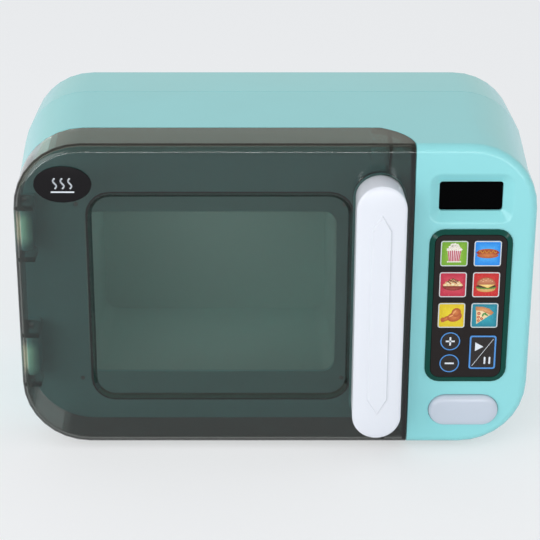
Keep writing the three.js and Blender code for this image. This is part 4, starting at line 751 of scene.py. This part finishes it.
def printed(name, face, body, slot, layers):
    """A print of thin plates on a face, whose middle is given. Each layer is an outline in
    millimetres about that middle, its colour, its middle's colour and its level above the face. The
    outline is filled by a fan from its mean point, and its rim goes down to the face."""
    points, faces, inks = [], [], []
    start = 0
    for outline, rim_ink, middle_ink, level in layers:
        flat = np.asarray(outline, float) / 1000
        count = len(flat)
        x, z = face[0] + flat[:, 0], face[2] + flat[:, 1]
        top = np.stack([x, np.full(count, face[1] - level * INK_STEP), z], axis=1)
        root = np.stack([x, np.full(count, face[1] + INK_STEP / 2), z], axis=1)
        points += [top, root, top.mean(0)[None], root.mean(0)[None]]
        here = start + np.arange(count)
        after = start + (np.arange(count) + 1) % count
        middle = np.full(count, start + 2 * count)
        faces += np.stack([middle, here, after], axis=1).tolist()
        faces += np.stack([middle + 1, after + count, here + count], axis=1).tolist()
        faces += np.stack([after, here, here + count, after + count], axis=1).tolist()
        inks += [(*rim_ink, 1.0)] * (2 * count) + [(*middle_ink, 1.0), (*rim_ink, 1.0)]
        start += 2 * count + 2
    mesh = mesh_of(name, np.concatenate(points), faces)
    colours = mesh.color_attributes.new("ink", "FLOAT_COLOR", "POINT")
    colours.data.foreach_set("color", np.array(inks, float).ravel())
    mesh.materials.append(ink)
    return fastened(linked(name, mesh), body, slot)


def ellipse(x, z, across, up, turn=0.0, count=24):
    """An ellipse, turned by an angle."""
    angle = np.linspace(0.0, 2 * math.pi, count, endpoint=False)
    along, aside = across * np.cos(angle), up * np.sin(angle)
    c, s = math.cos(turn), math.sin(turn)
    return np.stack([x + along * c - aside * s, z + along * s + aside * c], axis=1)


def bumpy(x, z, across, up, lobes, depth):
    """An ellipse whose edge waves in and out by a share of its size."""
    angle = np.linspace(0.0, 2 * math.pi, 8 * lobes, endpoint=False)
    swell = 1 + depth * np.cos(lobes * angle)
    return np.stack([x + across * swell * np.cos(angle), z + up * swell * np.sin(angle)], axis=1)


def dome(x, z, across, up):
    """The upper half of an ellipse, with a flat foot."""
    angle = np.linspace(0.0, math.pi, 28)
    return np.stack([x + across * np.cos(angle), z + up * np.sin(angle)], axis=1)


def disc(radius):
    """A circle about the middle."""
    return ellipse(0, 0, radius, radius, count=48)


def tile(half_width, half_height, corner):
    """A rectangle with round corners about the middle."""
    ring = rounded_ring(-half_width, half_width, -half_height, half_height, corner, 0.0, 32)
    return ring[:, [0, 2]]


def strip(x0, z0, x1, z1, width):
    """A straight bar between two points."""
    way = np.array([x1 - x0, z1 - z0])
    aside = np.array([way[1], -way[0]]) / np.linalg.norm(way) * width / 2
    a, b = np.array([x0, z0]), np.array([x1, z1])
    return np.array([a + aside, b + aside, b - aside, a - aside])


def ribbon(x0, x1, z, rise, waves, width, parts=24):
    """A ribbon along a sine, as short straight bars that overlap a little."""
    x = np.linspace(x0, x1, parts + 1)
    height = z + rise * np.sin(np.linspace(0.0, 2 * math.pi * waves, parts + 1))
    more = (x1 - x0) / parts * 0.3
    pairs = zip(x[:-1], height[:-1], x[1:], height[1:])
    return [strip(a - more, b, c + more, d, width) for a, b, c, d in pairs]


def popcorn():
    """A striped tub with a heap of popcorn."""
    red, pale = (0.5, 0.03, 0.06), (0.8, 0.68, 0.7)
    corn, light_corn, toast = (0.82, 0.76, 0.64), (0.92, 0.9, 0.84), (0.55, 0.3, 0.14)
    tub = np.array([[-3.9, 2.4], [-3.0, -4.6], [3.0, -4.6], [3.9, 2.4]])
    layers = [(tub, pale, pale, 3)]
    for k in range(-3, 4):
        layers.append((strip(k * 0.86, -4.5, k * 1.14, 2.4, 0.56), red, red, 4))
        layers.append((bumpy(k * 1.15, -4.8, 0.55, 0.45, 5, 0.15), corn, corn, 5 + k % 2))
    heap = [(x * 1.35 - 3.4, 2.8 - 0.1 * abs(x - 2.5)) for x in range(6)]
    heap += [(-2.4, 3.9), (-0.9, 4.3), (0.7, 4.2), (2.2, 3.8), (-1.4, 5.2), (0.2, 5.5), (1.5, 5.0)]
    for k, (x, z) in enumerate(heap):
        layers.append((bumpy(x, z, 1.0, 0.9, 5, 0.14), corn, light_corn, 5 + k % 3))
        layers.append((ellipse(x + 0.25, z - 0.25, 0.2, 0.16), toast, toast, 8))
    return layers


def hot_dog():
    """A sausage in a bun, with a wave of mustard."""
    crust, dark_crumb, crumb = (0.4, 0.08, 0.02), (0.55, 0.18, 0.04), (0.62, 0.2, 0.05)
    dark_meat, meat, mustard = (0.3, 0.02, 0.01), (0.5, 0.06, 0.02), (0.8, 0.34, 0.04)
    return [
        (ellipse(0, 1.0, 5.9, 1.9), crust, dark_crumb, 3),
        (ellipse(0, 0.6, 6.5, 1.4), dark_meat, meat, 4),
        (ellipse(0, -1.0, 6.0, 1.7), crust, crumb, 5),
        *[(bar, mustard, mustard, 6) for bar in ribbon(-4.8, 4.8, 1.1, 0.6, 4, 0.5)],
    ]


def noodles():
    """A flat bowl heaped with noodles, with sauce on top."""
    bowl, rim = (0.2, 0.02, 0.015), (0.4, 0.07, 0.05)
    noodle, cream = (0.75, 0.45, 0.15), (0.92, 0.84, 0.6)
    sauce, chilli = (0.09, 0.035, 0.012), (0.45, 0.04, 0.02)
    layers = [((dome(0, 0.8, 5.8, 2.6) * [1, -1])[::-1], bowl, rim, 7)]
    heap = [(-3.9, -0.2), (-2.0, 0.2), (0.0, 0.3), (2.0, 0.2), (3.9, -0.2)]
    heap += [(-2.7, 1.2), (-0.9, 1.7), (0.9, 1.7), (2.7, 1.2), (0.0, 2.6)]
    for k, (x, z) in enumerate(heap):
        layers.append((bumpy(x, z, 1.6, 1.1, 7, 0.1), noodle, cream, 3 + k % 3))
    flecks = [(-2.9, 2.0, 0.5), (-1.7, 2.8, -0.6), (-0.4, 3.3, 0.8), (1.0, 3.1, -0.5)]
    flecks += [(2.3, 2.3, 0.6), (-1.9, 1.3, -0.7), (0.3, 2.0, 0.3), (1.6, 1.5, -0.8)]
    for x, z, turn in flecks:
        layers.append((ellipse(x, z, 1.0, 0.26, turn), sauce, sauce, 6))
        layers.append((ellipse(x + 0.5, z - 0.5, 0.6, 0.2, -turn), chilli, chilli, 6.5))
    return layers


def burger():
    """Bun, lettuce, patty, cheese and bun with seeds."""
    bun, light_bun, seed = (0.42, 0.12, 0.05), (0.62, 0.28, 0.14), (0.8, 0.5, 0.3)
    base, light_base = (0.6, 0.3, 0.08), (0.78, 0.5, 0.2)
    leaf, light_leaf = (0.1, 0.22, 0.03), (0.2, 0.4, 0.05)
    meat, light_meat = (0.05, 0.02, 0.01), (0.1, 0.04, 0.02)
    cheese, light_cheese = (0.88, 0.55, 0.12), (0.9, 0.7, 0.3)
    slice_edge = np.array([[-4.8, 0.3], [1.0, -1.9], [5.2, 0.3], [0.0, 0.8]])
    seeds = [(-3.0, 2.6), (-1.6, 3.5), (-0.2, 2.7), (0.9, 3.7), (2.2, 2.9), (3.3, 2.2), (-1.8, 2.1)]
    return [
        (ellipse(0, -2.5, 5.3, 1.9), base, light_base, 3),
        (bumpy(0, -1.5, 5.7, 1.2, 18, 0.05), leaf, light_leaf, 4),
        (ellipse(0, -0.8, 5.4, 1.1), meat, light_meat, 5),
        (slice_edge, cheese, light_cheese, 6),
        (dome(0, 0.2, 5.3, 4.3), bun, light_bun, 7),
        *[(ellipse(x, z, 0.36, 0.2), seed, seed, 8) for x, z in seeds],
    ]


def drumstick():
    """A roast drumstick: a broad end and a knuckle."""
    roast, light, glaze = (0.42, 0.08, 0.02), (0.68, 0.22, 0.06), (0.8, 0.36, 0.14)
    return [
        (ellipse(-5.1, -2.3, 1.2, 0.9, 0.9), roast, light, 3),
        (ellipse(-4.9, -3.3, 1.1, 0.8, -0.3), roast, light, 3.5),
        (ellipse(-2.6, -1.8, 3.4, 1.3, 0.45), roast, light, 4),
        (ellipse(1.8, -0.8, 4.2, 2.9, 0.35), roast, light, 5),
        (ellipse(2.6, 1.9, 2.8, 2.5, 0.9), roast, light, 6),
        (ellipse(1.6, 2.2, 1.5, 0.5, 0.9), glaze, glaze, 7),
        (ellipse(-0.2, -0.2, 1.6, 0.4, 0.5), glaze, glaze, 7),
    ]


def pizza():
    """A slice with its crust along the top, salami rings and herbs."""
    crust, light_crust = (0.52, 0.2, 0.07), (0.72, 0.36, 0.15)
    cheese, light_cheese = (0.84, 0.6, 0.3), (0.9, 0.74, 0.46)
    salami, light = (0.42, 0.05, 0.03), (0.72, 0.28, 0.14)
    herb, light_herb = (0.04, 0.2, 0.05), (0.12, 0.4, 0.1)
    slice_edge = np.array([[-4.9, 4.6], [-4.4, -5.2], [4.4, 1.2], [1.4, 3.6]])
    crust_edge = [[-5.2, 5.5], [-5.1, 3.2], [-1.5, 2.9], [2.3, 0.9], [3.9, 0.3], [5.1, 1.9]]
    crust_edge = np.array([*crust_edge, [2.6, 4.2], [-1.2, 5.4]])
    layers = [(slice_edge, cheese, light_cheese, 3), (crust_edge, crust, light_crust, 4)]
    rings = [(-3.2, 1.3, 0.95), (-3.4, -1.0, 0.85), (-3.3, -3.1, 0.8), (-1.6, -1.9, 0.8)]
    for x, z, radius in rings:
        layers.append((ellipse(x, z, radius, radius), salami, salami, 5))
        layers.append((ellipse(x, z, radius * 0.6, radius * 0.6), light, light, 6))
    for x, z, turn in [(0.0, 1.2, 0.4), (-0.9, 0.4, 1.3), (1.1, 0.5, -0.4)]:
        layers.append((ellipse(x, z, 1.05, 0.45, turn), herb, light_herb, 7 + turn / 10))
    return layers


def key_face(name):
    """The middle of a key's face, and half the cap's width and height in millimetres."""
    low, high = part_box(name)
    middle = ((low.x + high.x) / 2, low.y, (low.z + high.z) / 2)
    half_width, half_height = (high.x - low.x) / 2 - KEY_LIP, (high.z - low.z) / 2 - KEY_LIP
    return middle, half_width * 1000, half_height * 1000


# Each key's name and slot, its ground's colour at the edge and in the middle, and its picture
PICTURE_KEYS = [
    ("key_popcorn", "key_lime", (0.15, 0.36, 0.02), (0.34, 0.56, 0.05), popcorn),
    ("key_hot_dog", "key_sky", (0.004, 0.22, 0.72), (0.10, 0.48, 0.92), hot_dog),
    ("key_noodles", "key_crimson", (0.50, 0.015, 0.05), (0.72, 0.10, 0.13), noodles),
    ("key_burger", "key_orange", (0.52, 0.012, 0.014), (0.72, 0.07, 0.05), burger),
    ("key_drumstick", "key_yellow", (0.70, 0.50, 0.01), (0.86, 0.70, 0.03), drumstick),
    ("key_pizza", "key_teal", (0.01, 0.20, 0.28), (0.04, 0.42, 0.5), pizza),
]
for key_name, key_slot, ground, glow, picture in PICTURE_KEYS:
    face, half, _ = key_face(key_name)
    carried(moulded_plastic(key_name + " plastic", ground, roughness=0.3), key_name)
    inside = half - GROUND_INSET
    layers = [(tile(half, half, KEY_CORNER), PALE, PALE, 1)]
    layers.append((tile(inside, inside, GROUND_CORNER), ground, glow, 2))
    for outline, rim_ink, middle_ink, level in picture():
        layers.append((outline * half / PICTURE_HALF, rim_ink, middle_ink, level))
    printed(key_name + "_print", face, key_name, key_slot, layers)

# Plus, minus and play keys: caps moulded in black. A blue ring or frame and their white signs are
# printed on them, in thin plates of the same ink as the pictures.
SIGN_RING = 0.65
SIGN_HALF = 2.6
SIGN_BAR = 1.0
PLAY_FRAME = 0.95
PLAY_CORNER = 1.5
PLAY_INNER_CORNER = 0.9
night = moulded_plastic("black key plastic", NIGHT, roughness=0.22, gloss=0.22)
carried(night, "key_plus", "key_minus", "key_play_pause")
bar_across = (strip(-SIGN_HALF, 0, SIGN_HALF, 0, SIGN_BAR), WHITE_INK, WHITE_INK, 3)
bar_up = (strip(0, -SIGN_HALF, 0, SIGN_HALF, SIGN_BAR), WHITE_INK, WHITE_INK, 3)
for key_name, bars in [("key_plus", [bar_across, bar_up]), ("key_minus", [bar_across])]:
    face, half, _ = key_face(key_name)
    ring = [(disc(half), BLUE, BLUE, 1), (disc(half - SIGN_RING), NIGHT, NIGHT, 2)]
    printed(key_name + "_print", face, key_name, "key_dark", ring + bars)

face, half, tall = key_face("key_play_pause")
triangle = np.array([[-4.4, 6.35], [-4.4, 0.9], [0.35, 3.6]])
pause_bar = tile(0.5, 2.25, 0.45)
signs = [
    strip(-5.8, -8.5, 6.0, 8.5, 0.24),
    triangle,
    pause_bar + [1.4, -5.1],
    pause_bar + [4.2, -5.1],
]
inner_frame = tile(half - PLAY_FRAME, tall - PLAY_FRAME, PLAY_INNER_CORNER)
layers = [(tile(half, tall, PLAY_CORNER), BLUE, BLUE, 1), (inner_frame, NIGHT, NIGHT, 2)]
layers += [(sign, WHITE_INK, WHITE_INK, 3) for sign in signs]
printed("key_play_pause_print", face, "key_play_pause", "key_dark", layers)

# Badge's print: three plain curls of steam over a line, in thin plates of white ink on the middle
# of the badge's crown.
PRINT_SETBACK = 0.12
STEAM_LINE = (-6.5, -4.2, 6.5, -4.2)
STEAM_LINE_WIDTH = 0.8
CURL_MIDDLES = (-4.2, 0.0, 4.2)
CURL_ENDS = (-2.2, 3.8)
CURL_SWAY = 0.9
CURL_WIDTH = 0.9
low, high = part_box("badge")
face = ((low.x + high.x) / 2, low.y + BADGE_CROWN * PRINT_SETBACK, (low.z + high.z) / 2)
steam = [strip(*STEAM_LINE, STEAM_LINE_WIDTH)]
for x in CURL_MIDDLES:
    lying = ribbon(*CURL_ENDS, z=0.0, rise=CURL_SWAY, waves=1, width=CURL_WIDTH, parts=16)
    steam += [bar[::-1, ::-1] + [x, 0] for bar in lying]
layers = [(outline, WHITE_INK, WHITE_INK, 3) for outline in steam]
printed("badge_print", face, "door", "gloss_black", layers)

# Lamp lens and lamp: the lens over the oven's ceiling and the lamp above it, both moulded in clear
# plastic with a light frost.
LENS_TINT = (0.9, 0.94, 0.95, 1.0)


def lens_plastic():
    """Clear frosted plastic that lets the light of lamps pass."""
    material = bpy.data.materials.new("clear lens plastic")
    tree = node_tree(material)
    place = ("Vector", object_place(tree))
    frost = add_node(tree, "ShaderNodeTexNoise", place, Scale=400.0, Detail=2.0).outputs[0]
    uneven = add_node(tree, "ShaderNodeMapRange", ("Value", frost), To_Min=0.1, To_Max=0.2)
    shader = add_node(
        tree,
        "ShaderNodeBsdfPrincipled",
        ("Roughness", uneven.outputs[0]),
        Base_Color=LENS_TINT,
        IOR=1.49,
        Transmission_Weight=1.0,
    )
    surface = lit_through(tree, shader, CLEAR_TINT)
    add_node(tree, "ShaderNodeOutputMaterial", ("Surface", surface))
    return material


carried(lens_plastic(), "lamp_lens", "lamp_led")

# Screws, hinge pins and battery contacts: plated steel. The screws and pins are turned, and the
# contacts are bent from strip.
STEEL = (0.62, 0.62, 0.63, 1.0)
STEEL_ROUGHNESS = {"To_Min": 0.24, "To_Max": 0.39}


def plated_steel():
    """Plated steel with faint turning marks, as fine stripes of roughness."""
    material = bpy.data.materials.new("plated steel")
    tree = node_tree(material)
    place = ("Vector", object_place(tree))
    marks = add_node(tree, "ShaderNodeTexWave", place, Scale=900.0, Distortion=3.0).outputs["Fac"]
    uneven = add_node(tree, "ShaderNodeMapRange", ("Value", marks), **STEEL_ROUGHNESS)
    shader = add_node(
        tree,
        "ShaderNodeBsdfPrincipled",
        ("Roughness", uneven.outputs[0]),
        Base_Color=STEEL,
        Metallic=1.0,
    )
    add_node(tree, "ShaderNodeOutputMaterial", ("Surface", shader.outputs[0]))
    return material


def numbered(stem, count):
    """The names of like nodes, which end in 1, 2 and so on."""
    return [f"{stem}_{k + 1}" for k in range(count)]


steel = plated_steel()
carried(steel, "hinge_pin_lower", "hinge_pin_upper", "battery_cover_screw")
carried(steel, *numbered("handle_screw", 2), *numbered("housing_screw", 4))
carried(steel, *numbered("liner_screw", 4), *numbered("battery_contact", 4))

# Latch spring: steel wire wound round a rod, with its upper end held in the case. In the toy the
# latch presses it together from below, from 15.5 to 12.5 mm; here the wire is wound at one length.
SPRING_WIRE = 0.00035
SPRING_TURNS = 6
WIRE_POINTS = 12
TURN_RINGS = 24


def wound_wire():
    """Rings of a round wire on a helix. At angle t round the axis the wire's middle stands at the
    coil's radius and rises evenly with t, and each ring goes round it by the angle s: outwards by
    the wire's radius times cos s, and upwards by the same times sin s."""
    low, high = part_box("latch_spring")
    middle = np.array([(low.x + high.x) / 2, (low.y + high.y) / 2, low.z + SPRING_WIRE])
    coil = (high.x - low.x) / 2 - SPRING_WIRE
    rise = high.z - low.z - 2 * SPRING_WIRE
    s = np.linspace(0.0, 2 * math.pi, WIRE_POINTS, endpoint=False)
    rings = []
    for share in np.linspace(0.0, 1.0, SPRING_TURNS * TURN_RINGS + 1):
        t = 2 * math.pi * SPRING_TURNS * share
        out = coil + SPRING_WIRE * np.cos(s)
        ring = [out * math.cos(t), out * math.sin(t), rise * share + SPRING_WIRE * np.sin(s)]
        rings.append(middle + np.stack(ring, axis=1))
    return skin("latch_spring_wire", rings)


spring = shaded("latch_spring_wire", wound_wire(), steel)
fastened(spring, "case", "spring_steel", "latch_spring")
low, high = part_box("latch_spring")
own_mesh(spring)

# Feet, cells, boards, speaker, switch, latch and key sheet: rubber, plastic sleeves, circuit boards
# and moulded plastic, each in its usual finish. The case and its covers hold them.
RUBBER = (0.035, 0.037, 0.04)
BOARD = (0.02, 0.16, 0.07)
CELL = (0.05, 0.13, 0.42)
LATCH = (0.8, 0.79, 0.75)
SILICONE = (0.6, 0.61, 0.62)
rubber = moulded_plastic("foot rubber", RUBBER, roughness=0.75, grain=0.3, scale=900.0)
carried(rubber, *numbered("foot", 4))
cell = moulded_plastic("cell sleeve", CELL, roughness=0.3, grain=0.02)
carried(cell, *numbered("battery", 3))
board = moulded_plastic("circuit board", BOARD, roughness=0.4)
carried(board, "lamp_board", "control_board")
carried(dark, "speaker", "switch_body", "power_switch")
latch = moulded_plastic("latch plastic", LATCH, roughness=0.45, grain=0.08)
carried(latch, "latch_slider")
silicone = moulded_plastic("key sheet silicone", SILICONE, roughness=0.7, grain=0.1)
carried(silicone, "keypad_membrane")

low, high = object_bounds()
